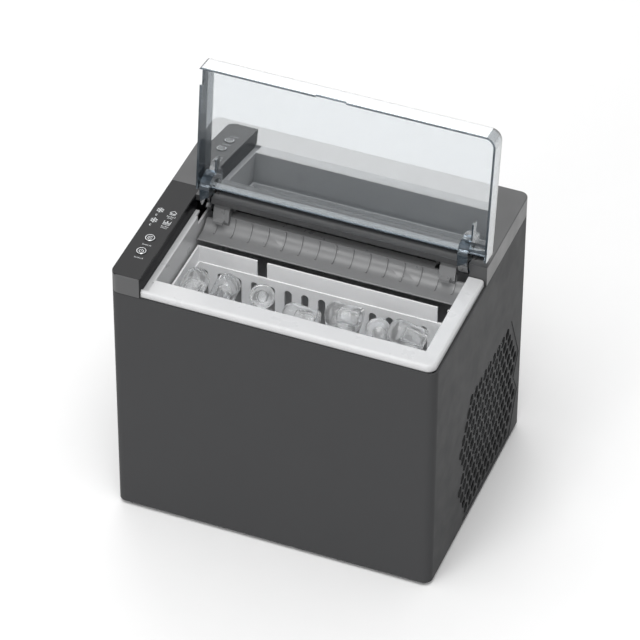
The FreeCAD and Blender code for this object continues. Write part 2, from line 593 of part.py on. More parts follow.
def make_liner():
    rim_left = f"-{HALF_W} + strip_width + 0.3"
    rim_right = f"{HALF_W} - rim_inset"
    rim_front, rim_back = f"-{HALF_D} + rim_inset", "deck_front_y - 0.8"
    rim_low = "seam_height + gap"
    ring = box("rim_block", (rim_left, rim_right), (rim_front, rim_back), (rim_low, "rim_height"))
    x1, y0 = size("case_width") / 2 - size("rim_inset"), -size("case_depth") / 2 + size("rim_inset")
    ring = round_edges("rim_corner", ring, "corner_radius", lambda edge: upright_at(edge, x1, y0))
    top = size("rim_height")

    def outer_top(edge):
        ends = [v.Point for v in edge.Vertexes]
        if any(abs(p.z - top) > 0.01 for p in ends):
            return False
        return all(p.x > x1 - 9 for p in ends) or all(p.y < y0 + 9 for p in ends)

    ring = round_edges("rim_edge", ring, "rim_thickness", outer_top)
    under = box("rim_under", (f"{rim_left} - 1", f"{rim_right} - rim_thickness"),
                (f"{rim_front} + rim_thickness", f"{rim_back} + 1"), (f"{rim_low} - 1", "rim_height - rim_thickness"))
    ledge = box("rim_ledge", (f"{rim_left} - 1", "tub_left_x"),
                (f"{rim_front} + rim_thickness", f"{rim_back} + 1"), ("ledge_height", "rim_height + 1"))
    ring = cut("rim_ring", ring, under, ledge)
    wall = "tub_wall"
    side = (f"tub_left_x - {wall}", f"tub_right_x + {wall}")
    plate = box("ledge_plate", (rim_left, "tub_left_x"), (f"{rim_front} + rim_thickness", rim_back),
                (f"ledge_height - {wall}", "ledge_height"))
    front = box("tub_front", side, (f"tub_front_y - {wall}", f"tub_step_y + {wall}"),
                (f"sump_floor_z - {wall}", "rim_height - 1"))
    rear = box("tub_rear", side, ("tub_step_y", f"tub_back_y + {wall}"),
               (f"chamber_floor_z - {wall}", "rim_height - 0.5"))
    inside_x = ("tub_left_x", "tub_right_x")
    front_space = box("sump_space", inside_x, ("tub_front_y", "tub_step_y"), ("sump_floor_z", "rim_height + 1"))
    rear_space = box("chamber_space", inside_x, ("tub_step_y - 1", "tub_back_y"),
                     ("chamber_floor_z", "rim_height + 1"))
    arm_way = box("arm_way", ("tub_right_x - 0.5", "block_left_x + 2"), ("deck_front_y - 0.5", "45"),
                  ("262", "rim_height + 1"))
    left_way = box("left_arm_way", (f"tub_left_x - {wall} - 1", "tub_left_x + 0.01"), ("left_way_y", "34"),
                   ("262", "rim_height + 1"))
    holes = [
        round_bar("shaft_way", "X", "tub_left_x - 5", "tray_pivot_y", "tray_pivot_z",
                  "tray_shaft_radius + shaft_play", "tub_right_x - tub_left_x + 10"),
        round_bar("hose_way", "X", "tub_left_x - 5", "33", "256", "hose_radius + 0.5", "10"),
        round_bar("suction_way", "Y", "-114", "tub_back_y - 2", "evaporator_z - 8", "pipe_radius + 0.5", "8"),
        round_bar("liquid_way", "Y", "20", "tub_back_y - 2", "evaporator_z - 8", "capillary_radius + 0.5", "8"),
        round_bar("drain_way", "X", "tub_left_x - 5", "drain_y", "drain_z", "spout_bore", "8"),
        round_bar("strainer_way", "Z", "pump_x", "pump_y", "sump_floor_z - 5", "5.2", "8"),
    ]
    tub = fuse("tub_walls", ring, plate, front, rear)
    tub = cut("tub_hollow", tub, front_space, rear_space, arm_way, left_way, *holes)
    rests = []
    for name, x in (("left", ("tub_left_x - 0.5", "basket_left_x + 5")),
                    ("right", ("basket_right_x - 5", "tub_right_x + 0.5"))):
        rests.append(box(f"basket_rest_{name}", x, ("tub_front_y - 0.5", "tub_step_y - 8"),
                         ("rest_height - 4", "rest_height")))
    node(fuse("liner", tub, *rests), "bin_liner")
    low, high = "foot_height + 14", "240"
    foam = [
        box("foam_front", ("tub_left_x - 12", "tub_right_x + 12"), (f"-{HALF_D} + 3.4", "tub_front_y - 3"), (low, high)),
        box("foam_left", ("tub_left_x - 12", "tub_left_x - 3"), (f"-{HALF_D} + 3.4", "-40"), ("95", high)),
        box("foam_right", ("tub_right_x + 3", "tub_right_x + 12"), (f"-{HALF_D} + 3.4", "-10"), (low, high)),
    ]
    node(fuse("foam", *foam), "insulation_foam")


def slot_hole(width, low, top, way, depth):
    """An upright slot with a round top, from the origin along way (a unit step in X or Y)."""
    half = width / 2
    plate = Part.makeBox(width, depth, top - half - low, Vector(-half, 0, low))
    head = Part.makeCylinder(half, depth, Vector(0, 0, top - half), Vector(0, 1, 0))
    hole = plate.fuse(head)
    if way == "X":
        hole.rotate(Vector(), Vector(0, 0, 1), -90)
    return hole


def make_basket():
    body = new_body("basket_body")
    plan = new_sketch(body, "basket_plan", "XY_Plane", "basket_floor_z")
    rectangle(plan, ("basket_left_x", "basket_right_x"), ("basket_front_y", "basket_back_y"))
    feature(body, "Pad", "basket_pad", plan, "basket_top_z - basket_floor_z")
    main = new_sketch(body, "basket_inside", "XY_Plane", "basket_top_z")
    wall = "basket_wall"
    rectangle(main, (f"basket_left_x + {wall}", f"basket_right_x - {wall}"),
              (f"basket_front_y + {wall}", f"basket_back_y - {wall}"))
    feature(body, "Pocket", "basket_hollow", main, f"basket_top_z - basket_floor_z - {wall}")
    band = new_sketch(body, "basket_band", "XY_Plane", "basket_top_z")
    wall = "basket_band_wall"
    rectangle(band, (f"basket_left_x + {wall}", f"basket_right_x - {wall}"),
              (f"basket_front_y + {wall}", f"basket_back_y - {wall}"))
    feature(body, "Pocket", "basket_band_step", band, "basket_top_z - basket_band_z")
    notches = new_sketch(body, "basket_notches", "XY_Plane", "basket_top_z")
    for x in (-60, 120):
        rectangle(notches, (str(x), str(x + 10)), ("basket_back_y - 4", "basket_back_y + 2"))
    feature(body, "Pocket", "basket_notch_cut", notches, "basket_top_z - basket_band_z + 0.5")
    low, top, width, pitch = (size(s) for s in ("slot_low_z", "slot_top_z", "slot_width", "slot_pitch"))
    slots = []
    first_x = -113.6
    for number in range(SLOTS_BACK):
        slot = slot_hole(width, low, top, "Y", size("basket_back_y") - size("basket_front_y") + 4)
        slot.translate(Vector(first_x + number * pitch, size("basket_front_y") - 2, 0))
        slots.append(slot)
    middle = (size("basket_front_y") + size("basket_back_y")) / 2
    for number in range(SLOTS_SIDE):
        slot = slot_hole(width, low, top, "X", size("basket_right_x") - size("basket_left_x") + 4)
        slot.translate(Vector(size("basket_left_x") - 2, middle + (number - (SLOTS_SIDE - 1) / 2) * pitch, 0))
        slots.append(slot)
    for number in range(SLOTS_BACK - 1):
        x = first_x + (number + 0.5) * pitch
        slots.append(block(x - 3, x + 3, middle - 32, middle + 32, size("basket_floor_z") - 1,
                           size("basket_floor_z") + 5))
    cutter = made("basket_slots", slots[0].fuse(slots[1:]))
    node(cut("basket", body, cutter), "ice_basket")


# Each ice bullet on top of the heap: centre x, y, z, then its tip's turn about Z and tilt from upright.
TOP_BULLETS = (
    (-105.8, -58, 236, 85, 72), (-86, -30, 213, 36, 25), (-46, -35, 222.5, 111, 131), (-8, -36, 210, 176, 88),
    (32, -27.5, 218, 180, 90), (71, -33, 212, 250, 22), (100, -41, 228, 197, 63),
)


def heap():
    """The ice bullets: two level layers under the ones on top."""
    for column in range(6):
        for row in range(3):
            turn = (4, -5, 3, -3, 5, -4)[column] + 180 * ((row + column) % 2)
            yield (-99 + 41 * column, -83.4 + 26.8 * row, 165.2, turn, 90)
        for row in range(2):
            yield (-99 + 41 * column, -83.2 + 25.5 * row, 191, (5, -4, -5, 4, -3, 3)[column] + 180 * row, 90)
    yield from TOP_BULLETS


def make_ice():
    radius, length, bore = size("ice_radius"), size("ice_length"), size("ice_bore")
    dome = 0.7
    pieces = []
    for x, y, z, turn, tilt in heap():
        barrel = Part.makeCylinder(radius, length - radius * dome)
        tip = Part.makeSphere(radius, Vector(), Vector(0, 0, 1), 0, 90, 360)
        squashed = FreeCAD.Matrix()
        squashed.scale(Vector(1, 1, dome))
        tip = tip.transformGeometry(squashed)
        tip.translate(Vector(0, 0, length - radius * dome))
        hole = Part.makeCylinder(bore, length * 0.62, Vector(0, 0, -0.1))
        bullet = barrel.fuse(tip).cut(hole).removeSplitter()
        bullet.translate(Vector(0, 0, -length / 2))
        turned = Rotation(Vector(0, 0, 1), turn).multiply(Rotation(Vector(0, 1, 0), tilt))
        bullet.Placement = Placement(Vector(x, y, z), turned).multiply(bullet.Placement)
        pieces.append(bullet)
    node(made("ice", Part.makeCompound(pieces)), "ice_bullets")


# ---------------------------------------------------------------- shovel, tray and fingers

def arc_points(cy, cz, radius, start, end, steps=16):
    turns = [math.radians(start + (end - start) * n / steps) for n in range(steps + 1)]
    return [(cy + radius * math.cos(a), cz + radius * math.sin(a)) for a in turns]


def trough_bar(cy, cz, inner, outer, start, end, x0, x1):
    """A curved plate along X: the ring sector between two radii and two angles."""
    near, far = arc_points(cy, cz, inner, start, end, 2), arc_points(cy, cz, outer, start, end, 2)
    at = [Vector(x0, *p) for p in near]
    to = [Vector(x0, *p) for p in far]
    edges = [Part.Arc(*at).toShape(), Part.LineSegment(at[2], to[2]).toShape(),
             Part.Arc(to[2], to[1], to[0]).toShape(), Part.LineSegment(to[0], at[0]).toShape()]
    return Part.Face(Part.Wire(edges)).extrude(Vector(x1 - x0, 0, 0))


def make_shovel():
    x0, x1 = size("shovel_left_x"), size("shovel_right_x")
    thick, radius = size("shovel_thickness"), size("shovel_radius")
    lip_y, lip_z, bend_y = size("lip_y"), size("lip_z"), size("lip_end_y")
    cy, cz = bend_y, lip_z + radius
    blade = trough_bar(cy, cz, radius, radius + thick, 270, 360, x0, x1)
    lip = block(x0, x1, lip_y, bend_y, lip_z - thick, lip_z)
    nose = rod(x0, lip_y, lip_z - thick / 2, (1, 0, 0), x1 - x0, thick / 2)
    flange = block(size("flange_left_x"), size("flange_right_x"), cy + radius, size("flange_back_y"),
                   cz - thick, cz)
    shovel = blade.fuse([lip, nose, flange])
    high = size("end_notch_z")
    width = size("shovel_arm_width")
    arms = (size("shovel_arm_left_x"), size("shovel_arm_right_x"))
    left_end, right_end = arms[0] - 1, arms[1] + width + 1
    shovel = shovel.cut([block(x0 - 1, left_end, lip_y, 40, high, cz + 9),
                         block(right_end, x1 + 1, lip_y, 40, high, cz + 9)])
    ribs = []
    middle = (x0 + x1) / 2
    for number in range(SHOVEL_RIBS):
        x = middle + (number - (SHOVEL_RIBS - 1) / 2) * size("rib_pitch") - size("rib_width") / 2
        end = 360 if left_end < x < right_end - 2 else 328
        ribs.append(trough_bar(cy, cz, radius - size("rib_height"), radius + 0.2, 276, end - 4,
                               x, x + size("rib_width")))
    pivot_y, pivot_z = size("shovel_pivot_y"), size("shovel_pivot_z")
    parts = []
    for start in arms:
        parts.append(polygon_bar([(11.8, 255.6), (8.6, 262), (12.2, 274.4), (17.8, 278), (23.6, 279), (24.6, 274),
                                  (17.5, 267.6), (15.6, 262)], start, start + width))
        parts.append(block(start + 2, start + width - 4, 3.6, 12.4, 262.2, 265))
    shovel = shovel.fuse(ribs + parts)
    bore = rod(x0, pivot_y, pivot_z, (1, 0, 0), x1 - x0, size("shovel_shaft_radius") + size("shaft_play"))
    shovel = shovel.cut(bore).removeSplitter()
    node(made("shovel", shovel), "ice_shovel")
    shaft = round_bar("shovel_rod", "X", "shovel_arm_left_x - 0.6", "shovel_pivot_y", "shovel_pivot_z",
                      "shovel_shaft_radius", "shovel_arm_right_x + shovel_arm_width - shovel_arm_left_x + 1.2")
    node(shaft, "shovel_shaft")
    for side, x in (("left", "shovel_arm_left_x + shovel_arm_width + 2"), ("right", "shovel_arm_right_x - 5")):
        plate = box(f"shovel_hanger_{side}", (x, f"{x} + 3"), ("shovel_pivot_y - 4.5", "shovel_pivot_y + 4.5"),
                    ("shovel_pivot_z - 4", "channel_floor_z"))
        bore = round_bar(f"shovel_hanger_bore_{side}", "X", f"{x} - 1", "shovel_pivot_y", "shovel_pivot_z",
                         "shovel_shaft_radius + shaft_play", "5")
        node(cut(f"hanger_{side}", plate, bore), f"shovel_bracket_{side}")


def make_tray():
    x0, x1 = size("tray_left_x"), size("tray_right_x")
    cy, cz, radius, thick = size("finger_y"), size("tray_z"), size("tray_radius"), 2
    trough = trough_bar(cy, cz, radius, radius + thick, 180, 360, x0, x1)
    rim = size("tray_rim_z")
    sides = [block(x0, x1, cy - radius - thick, cy - radius, cz, rim),
             block(x0, x1, cy + radius, cy + radius + thick, cz, rim)]
    py, pz = size("tray_pivot_y"), size("tray_pivot_z")
    ends = []
    for x in (x0, x1 - thick):
        disc_part = rod(x, cy, cz, (1, 0, 0), thick, radius + thick)
        upper = block(x, x + thick, cy - radius - thick, cy + radius + thick, cz, cz + radius + thick + 1)
        ends.append(disc_part.cut(upper))
        ends.append(block(x, x + thick, cy - radius - thick, cy + radius + thick, cz - 0.1, rim))
        ends.append(polygon_bar([(52, rim - 12), (56, rim), (py - 6, pz), (py, pz + 6.2), (py + 6, pz + 2),
                                 (py + 6, pz - 5), (62, rim - 10)], x, x + thick))
    tray = trough.fuse(sides + ends)
    bore = rod(x0 - 1, py, pz, (1, 0, 0), x1 - x0 + 2, size("tray_shaft_radius"))
    node(made("tray", tray.cut(bore).removeSplitter()), "water_tray")
    shaft = round_bar("tray_rod", "X", "tub_left_x - 13", "tray_pivot_y", "tray_pivot_z", "tray_shaft_radius",
                      "tub_right_x - tub_left_x + 14")
    node(shaft, "tray_shaft")
    front, back = "tray_pivot_y - 17", "tray_pivot_y + 17"
    gearbox = box("motor_gearbox", ("tub_left_x - 18", "tub_left_x - 5"), (front, back),
                  ("tray_pivot_z - 17", "tray_pivot_z + 9"))
    can = round_bar("motor_can", "X", "tub_left_x - 33", "tray_pivot_y + 2", "tray_pivot_z - 4", "12.5", "16")
    bore = round_bar("motor_bore", "X", "tub_left_x - 14", "tray_pivot_y", "tray_pivot_z",
                     "tray_shaft_radius + shaft_play", "10")
    node(cut("motor", fuse("motor_solid", gearbox, can), bore), "tray_motor")
    case = box("switch_case", ("tub_left_x - 16", "tub_left_x - 8"), ("92", "112"), ("246", "256"))
    lever = box("switch_lever", ("tub_left_x - 13", "tub_left_x - 11"), ("86", "110"), ("255.5", "257"))
    node(fuse("switch", case, lever), "tray_limit_switch")
    fingers = []
    for number in range(FINGERS):
        x = size("finger_x") + (number - (FINGERS - 1) / 2) * size("finger_pitch")
        r = size("finger_radius")
        low = size("finger_low_z") + r
        shank = rod(x, cy, low, (0, 0, 1), size("evaporator_z") - size("evaporator_radius") - low, r)
        tip = Part.makeSphere(r, Vector(x, cy, low))
        fingers.append(shank.fuse(tip).removeSplitter())
    node(made("fingers", Part.makeCompound(fingers)), "evaporator_fingers")
    pipe = round_bar("evaporator_pipe", "X", "-108", "finger_y", "evaporator_z", "evaporator_radius", "232")
    node(pipe, "evaporator_tube")
    legs = []
    for number, x in enumerate((-80, 16, 96)):
        legs.append(box(f"saddle_{number}", (str(x), str(x + 10)), ("finger_y - 7", "finger_y + 7"),
                        ("evaporator_z + evaporator_radius", "case_height - wall")))
    node(group("saddles", *legs), "evaporator_bracket")


# ---------------------------------------------------------------- water circuit

def make_water_circuit():
    x, y = "pump_x", "pump_y"
    volute = round_bar("pump_volute", "Z", x, y, "38", "17", "14")
    motor = round_bar("pump_motor", "Z", x, y, "12", "13.5", "26")
    inlet = round_bar("pump_inlet", "Z", x, y, "51", "5", "14.5")
    outlet = round_bar("pump_outlet", "X", f"{x} - 24", y, "45", "hose_radius", "12")
    space = round_bar("pump_space", "Z", x, y, "40.5", "14", "9")
    bore = round_bar("pump_inlet_bore", "Z", x, y, "49", "3.2", "18")
    solid = fuse("pump_solid", volute, motor, inlet, outlet)
    node(cut("pump", solid, space, bore), "water_pump")
    centre = Vector(size("pump_x"), size("pump_y"), 42)
    hub = Part.makeCylinder(4, 6, centre)
    plate = Part.makeCylinder(13, 1.5, centre)
    blades = []
    for number in range(6):
        blade = Part.makeBox(8.5, 1.2, 5, centre + Vector(3.5, -0.6, 1))
        blade.rotate(centre, Vector(0, 0, 1), number * 60)
        blades.append(blade)
    node(made("impeller", hub.fuse([plate] + blades).removeSplitter()), "pump_impeller")
    floor = "sump_floor_z"
    cup = round_bar("strainer_cup", "Z", x, y, f"{floor} + gap", "11", "9")
    slits = [box(f"strainer_slit_{n}", (f"{x} - 12", f"{x} + 12"), (f"{y} + {n * 5} - 1", f"{y} + {n * 5} + 1"),
                 (f"{floor} + 4", f"{floor} + 10")) for n in (-1, 0, 1)]
    seat = round_bar("strainer_seat", "Z", x, y, floor, "5.6", "3.4")
    node(cut("strainer", cup, seat, *slits), "suction_strainer")
    side, run_y, top_z = -144, 33, 256
    start = (size("pump_x") - 24.2, size("pump_y"), 45)
    hose = bent_pipe([start, (side, size("pump_y"), 45), (side, size("pump_y") + 14, 120), (side, run_y, 190),
                      (side, run_y, top_z), (-88, run_y, top_z)], size("hose_radius"), 13)
    node(made("hose", hose), "water_hose")
    guide = [round_bar("guide_foot", "Z", "float_x", "float_y", f"{floor} + 0.1", "8", "2.5"),
             round_bar("guide_rod", "Z", "float_x", "float_y", f"{floor} + 2", "2", "40"),
             round_bar("guide_cap", "Z", "float_x", "float_y", f"{floor} + 41", "4.5", "2.5")]
    node(fuse("guide", *guide), "float_guide")
    ring = round_bar("float_ring", "Z", "float_x", "float_y", f"{floor} + 3", "10", "12")
    hole = round_bar("float_hole", "Z", "float_x", "float_y", f"{floor} + 1", "2.3", "16")
    node(cut("float", ring, hole), "level_float")
    spout = round_bar("spout_tube", "X", f"-{HALF_W} + 7", "drain_y", "drain_z", "spout_radius",
                      f"{HALF_W} - 7 + tub_left_x - tub_wall - 0.1")
    bore = round_bar("spout_hole", "X", f"-{HALF_W}", "drain_y", "drain_z", "spout_bore", "60")
    node(cut("spout", spout, bore), "drain_spout")
    body = new_body("cap_body")
    body.Placement = Placement(Vector(-size("case_width") / 2 + 0.4, size("drain_y"), size("drain_z")),
                               AXIS_TURN["X"])
    r = size("spout_radius") + 4
    spun(body, "cap_turned", [(0, 0), (r - 1, 0), (r, 1), (r, 5), (r - 1.6, 5), (r - 1.6, 2.5), (5.6, 2.5),
                              (5.6, 16), (4.4, 18), (0, 18)])
    node(body, "drain_cap")
    for side_name, x0, x1 in (("left", "tub_left_x - 11", "tub_left_x - 2.2"),
                              ("right", "tub_right_x + 2.2", "tub_right_x + 11")):
        sensor = box(f"sensor_{side_name}", (x0, x1), ("-36", "-24"), ("246", "256"))
        node(sensor, f"ice_sensor_{side_name}")


# ---------------------------------------------------------------- cooling circuit

def make_compressor():
    body = new_body("compressor_body")
    body.Placement = Placement(Vector(size("compressor_x"), size("compressor_y"), 0), Rotation())
    r, low, top = size("compressor_radius"), size("compressor_low_z"), size("compressor_top_z")
    middle = (low + top) / 2
    spun(body, "compressor_turned", [
        (0, low), (r - 14, low), (r - 5, low + 6), (r - 1, low + 16), (r - 1, middle - 3), (r, middle - 3),
        (r, middle + 3), (r - 1, middle + 3), (r - 1, top - 22), (r - 5, top - 12), (r - 16, top - 4), (0, top)])
    x, y = "compressor_x", "compressor_y"
    plate = box("compressor_plate", (f"{x} - 46", f"{x} + 46"), (f"{y} - 40", f"{y} + 40"), ("20", "22.6"))
    node(body, "compressor")
    node(plate, "compressor_bracket")
    mounts = [round_bar(f"grommet_{n}", "Z", f"{x} + {sx * 38}", f"{y} + {sy * 32}", "foot_height + 2.5", "7", "13.2")
              for n, (sx, sy) in enumerate(((-1, -1), (1, -1), (-1, 1), (1, 1)))]
    node(group("grommets", *mounts), "compressor_grommets")


def coil_heights():
    return [size("coil_low_z") + n * size("coil_pitch") for n in range(COIL_RUNS)]


def make_condenser():
    cx, half = size("condenser_x"), size("condenser_half")
    pitch, front = size("fin_pitch"), size("fin_front_y")
    heights = coil_heights()
    back = front + (FINS - 1) * pitch + 6
    holes = [rod(cx, 0, z, (0, 1, 0), 130, size("coil_radius") + 0.1) for z in heights]
    fins = []
    for number in range(FINS):
        y0 = front + number * pitch
        fin = block(cx - half, cx + half, y0, y0 + size("fin_thickness"), size("fin_low_z"), size("fin_top_z"))
        fins.append(fin.cut(holes))
    node(made("fins", Part.makeCompound(fins)), "condenser_fins")
    near = front - 4
    inlet = Vector(cx, near - 7, heights[0])
    edges = []
    r = size("coil_pitch") / 2
    for number, z in enumerate(heights):
        going = number % 2 == 0
        a, b = (near, back) if going else (back, near)
        begin = inlet if number == 0 else Vector(cx, a, z)
        finish = Vector(cx, b, z) if number < COIL_RUNS - 1 else Vector(cx, near - 7, z)
        edges.append(Part.LineSegment(begin, finish).toShape())
        if number < COIL_RUNS - 1:
            out = r if going else -r
            edges.append(Part.Arc(finish, Vector(cx, b + out, z + r), Vector(cx, b, z + 2 * r)).toShape())
    ring = Part.Wire(Part.makeCircle(size("coil_radius"), inlet, Vector(0, 1, 0)))
    node(made("coil", Part.Wire(edges).makePipeShell([ring], True, False)), "condenser_coil")


def make_fan():
    fx, fy, fz = size("fan_x"), size("fan_y"), size("fan_z")
    hub = rod(fx, fy, fz, (1, 0, 0), size("fan_depth"), size("fan_hub_radius"))
    blades = []
    for number in range(FAN_BLADES):
        blade = Part.makeBox(1.6, 20, size("fan_radius") - size("fan_hub_radius") + 2,
                             Vector(-0.8, -10, size("fan_hub_radius") - 2))
        blade.rotate(Vector(), Vector(0, 0, 1), 55)
        blade.translate(Vector(fx + size("fan_depth") / 2, fy, fz))
        blade.rotate(Vector(fx, fy, fz), Vector(1, 0, 0), number * 360 / FAN_BLADES)
        blades.append(blade)
    limit = rod(fx - 1, fy, fz, (1, 0, 0), size("fan_depth") + 2, size("fan_radius"))
    fan = hub.fuse([b.common(limit) for b in blades])
    fan = fan.cut(rod(fx - 1, fy, fz, (1, 0, 0), size("fan_depth") - 2, 2.06))
    node(made("fan", fan.removeSplitter()), "fan_blades")
    motor = round_bar("fan_can", "X", "fan_x - 34", "fan_y", "fan_z", "17", "31")
    shaft = round_bar("fan_shaft", "X", "fan_x - 4", "fan_y", "fan_z", "2", "fan_depth")
    node(fuse("fan_motor_solid", motor, shaft), "fan_motor")
    post = box("fan_post", ("fan_x - 30", "fan_x - 10"), ("fan_y - 14", "fan_y + 14"),
               ("foot_height + 2.5", "fan_z - 10"))
    seat = round_bar("fan_seat", "X", "fan_x - 31", "fan_y", "fan_z", "17.1", "22")
    node(cut("fan_stand", post, seat), "fan_bracket")
    sheet_x = ("condenser_x - condenser_half - 3.2", "condenser_x - condenser_half - 0.4")
    plate = box("shroud_plate", sheet_x, ("8", "108"), ("foot_height + 2.5", "fin_top_z"))
    hole = round_bar("shroud_hole", "X", "condenser_x - 20", "fan_y", "fan_z", "shroud_radius", "20")
    node(cut("shroud", plate, hole), "fan_shroud")


def make_refrigerant_lines():
    x, y = "drier_x", "drier_y"
    parts = [round_bar("drier_body", "Z", x, y, "48", "drier_radius", "56"),
             round_bar("drier_low", "Z", x, y, "38", "2.6", "10", "Part::Cone", "drier_radius"),
             round_bar("drier_high", "Z", x, y, "104", "drier_radius", "10", "Part::Cone", "2.6")]
    node(fuse("drier", *parts), "filter_drier")
    coil = round_bar("valve_coil", "Z", "valve_x", "valve_y", "118", "10", "20")
    stem = round_bar("valve_stem", "Z", "valve_x", "valve_y", "112", "5", "34")
    node(fuse("valve", coil, stem), "solenoid_valve")

    comp_x, comp_y = size("compressor_x"), size("compressor_y")
    comp_side, comp_top = comp_y + size("compressor_radius") - 0.8, size("compressor_top_z") - 1.5
    cx, coil_low, coil_top = size("condenser_x"), coil_heights()[0], coil_heights()[-1]
    over_z, out_x = size("discharge_z"), comp_x + 15
    pipe = size("pipe_radius")
    discharge = bent_pipe([(out_x, comp_y, comp_top), (out_x, comp_y, over_z), (cx, comp_y, over_z),
                           (cx, 1, over_z), (cx, 1, coil_top)], pipe, 9)
    node(made("discharge", discharge), "discharge_line")
    finger_y, high_z = size("finger_y"), size("evaporator_z") - 2
    low_z, back_y, inner_y = high_z - 6, size("pipe_back_y"), 96
    left_x, return_z = -114, 96
    suction = bent_pipe([(-108.2, finger_y, high_z), (left_x, finger_y, high_z), (left_x, inner_y, low_z),
                         (left_x, back_y, low_z), (left_x, back_y, return_z), (comp_x, back_y, return_z),
                         (comp_x, comp_side, return_z)], pipe, 3.6)
    node(made("suction", suction), "suction_line")
    thin, right_x = size("capillary_radius"), 128
    dx, dy = size("drier_x"), size("drier_y")
    liquid = bent_pipe([(dx, dy, 114), (dx, dy, 150), (dx, back_y, 150), (dx, back_y, low_z), (dx, inner_y, low_z),
                        (right_x, inner_y, low_z), (right_x, finger_y, high_z), (124.2, finger_y, high_z)], thin, 3)
    feed_z, feed_y = coil_low - 4, -0.2
    feed = bent_pipe([(cx, 5, coil_low), (cx, feed_y, coil_low), (dx, feed_y, feed_z), (dx, dy, feed_z), (dx, dy, 38)],
                     thin, 3)
    node(made("liquid", Part.makeCompound([liquid, feed])), "liquid_line")


# ---------------------------------------------------------------- electrics

# Each part on the power board: its near left corner's x and y, its width, depth and height.
POWER_PARTS = ((46, -106, 14, 14, 12), (66, -104, 10, 22, 16), (84, -106, 22, 12, 9), (112, -100, 14, 26, 12),
               (50, -60, 24, 20, 7), (90, -56, 12, 18, 14))


def make_power():
    sheet_z = "foot_height + 8"
    board = box("power_sheet", ("40", "130"), ("-112", "-30"), (sheet_z, f"{sheet_z} + 1.6"))
    parts = [board]
    for number, (x, y, w, d, tall) in enumerate(POWER_PARTS):
        parts.append(box(f"power_part_{number}", (str(x), str(x + w)), (str(y), str(y + d)),
                         (f"{sheet_z} + 1.5", f"{sheet_z} + {tall}")))
    node(fuse("power", *parts), "power_board")
    core = box("core", ("-14", "26"), ("-100", "-68"), ("foot_height + 2.6", "40"))
    winding = box("winding", ("-8", "20"), ("-106", "-62"), ("14", "34"))
    node(fuse("transformer_solid", core, winding), "transformer")


def check_and_write():
    doc.recompute()
    for thing in doc.Objects:
        if "Invalid" in thing.State or "Error" in thing.State:
            raise RuntimeError(f"{thing.Label} is {thing.State}")
    for thing in NODES:
        shape = thing.Shape
        if shape.isNull() or not shape.isValid() or not shape.Solids:
            raise RuntimeError(f"{thing.Label} has no valid solid")
        print(f"{thing.Label:24s} solids {len(shape.Solids):3d}  volume {shape.Volume / 1000:9.2f} cm3")
    os.makedirs("parts", exist_ok=True)
    for thing in NODES:
        thing.Shape.exportStep(f"parts/{thing.Label}.step")


make_outer_shell()
make_base()
make_rear_panel()
make_top_deck()
make_control_plate()
make_lid()
make_liner()
make_basket()
make_ice()
make_shovel()
make_tray()
make_water_circuit()
make_compressor()
make_condenser()
make_fan()
make_refrigerant_lines()
make_power()
check_and_write()
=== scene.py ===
import math

import bmesh
import bpy
from bpy.props import FloatProperty, FloatVectorProperty, PointerProperty
from mathutils import Matrix, Quaternion, Vector


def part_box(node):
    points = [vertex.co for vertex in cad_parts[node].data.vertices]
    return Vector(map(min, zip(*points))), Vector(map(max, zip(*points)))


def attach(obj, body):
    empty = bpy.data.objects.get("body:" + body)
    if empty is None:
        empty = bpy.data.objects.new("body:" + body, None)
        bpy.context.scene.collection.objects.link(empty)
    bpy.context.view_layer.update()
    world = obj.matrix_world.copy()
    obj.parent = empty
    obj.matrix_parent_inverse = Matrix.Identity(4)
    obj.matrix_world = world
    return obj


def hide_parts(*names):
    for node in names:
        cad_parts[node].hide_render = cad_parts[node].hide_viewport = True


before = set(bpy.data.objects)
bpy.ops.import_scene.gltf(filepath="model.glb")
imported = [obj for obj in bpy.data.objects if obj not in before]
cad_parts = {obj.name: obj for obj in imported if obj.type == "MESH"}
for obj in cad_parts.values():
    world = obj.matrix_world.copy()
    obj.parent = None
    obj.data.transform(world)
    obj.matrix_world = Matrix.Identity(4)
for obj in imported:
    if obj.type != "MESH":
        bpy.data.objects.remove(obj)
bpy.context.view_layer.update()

bl_info = {
    "name": "Countertop Ice Maker",
    "version": (1, 0, 0),
    "blender": (4, 5, 0),
    "location": "3D View > Sidebar > Ice Maker",
    "description": "Finishes, printed marks, ice and studio for a countertop ice maker",
    "category": "Object",
}

MM = 0.001
# How far the lid stands open from closed.
LID_OPEN = math.radians(96.8)

# Places on the touch plate are in mm from the middle of the machine's footprint.
# Each caption beside a symbol or key: its centre and how many ticks it has.
CAPTIONS = (
    (-138.7, -31.6, 7), (-138.9, -34.0, 4),
    (-138.8, -46.6, 6), (-138.9, -48.9, 5),
    (-143.6, -77.4, 7), (-143.4, -97.0, 7),
)
CAPTION_PITCH = 1.3 * MM
CAPTION_STROKE = 0.42 * MM
CAPTION_HALF_HEIGHT = 0.45 * MM
# The small crescents beside the two snowflakes.
CRESCENTS = ((-152.4, -33.4), (-152.2, -48.8))
CRESCENT_RADIUS = 1.0 * MM
# How deep the print starts under the plate's skin, so that no gap shows.
PRINT_ROOT = 0.02 * MM

# What the camera and the lamps point at, and the lamps: name, place, side and the setting with its power.
AIM = Vector((-0.0015, 0, 0.1802))
SOFTBOXES = (
    ("overhead_softbox", (0.1, -1.1, 3.3), 2.0, "key_power"),
    ("front_softbox", (-1.1, -3.0, 1.1), 1.6, "fill_power"),
    ("back_softbox", (-1.2, 3.0, 3.2), 2.8, "back_power"),
)
SENSOR_WIDTH = 36
FLOOR_REACH = 14.0
FLOOR_DEPTH = 0.02

# Corners closer than this are one corner, and edges flatter than this are shaded round.
WELD = 1e-7
ROUND_EDGE = math.radians(35)


# ---------------------------------------------------------------- settings

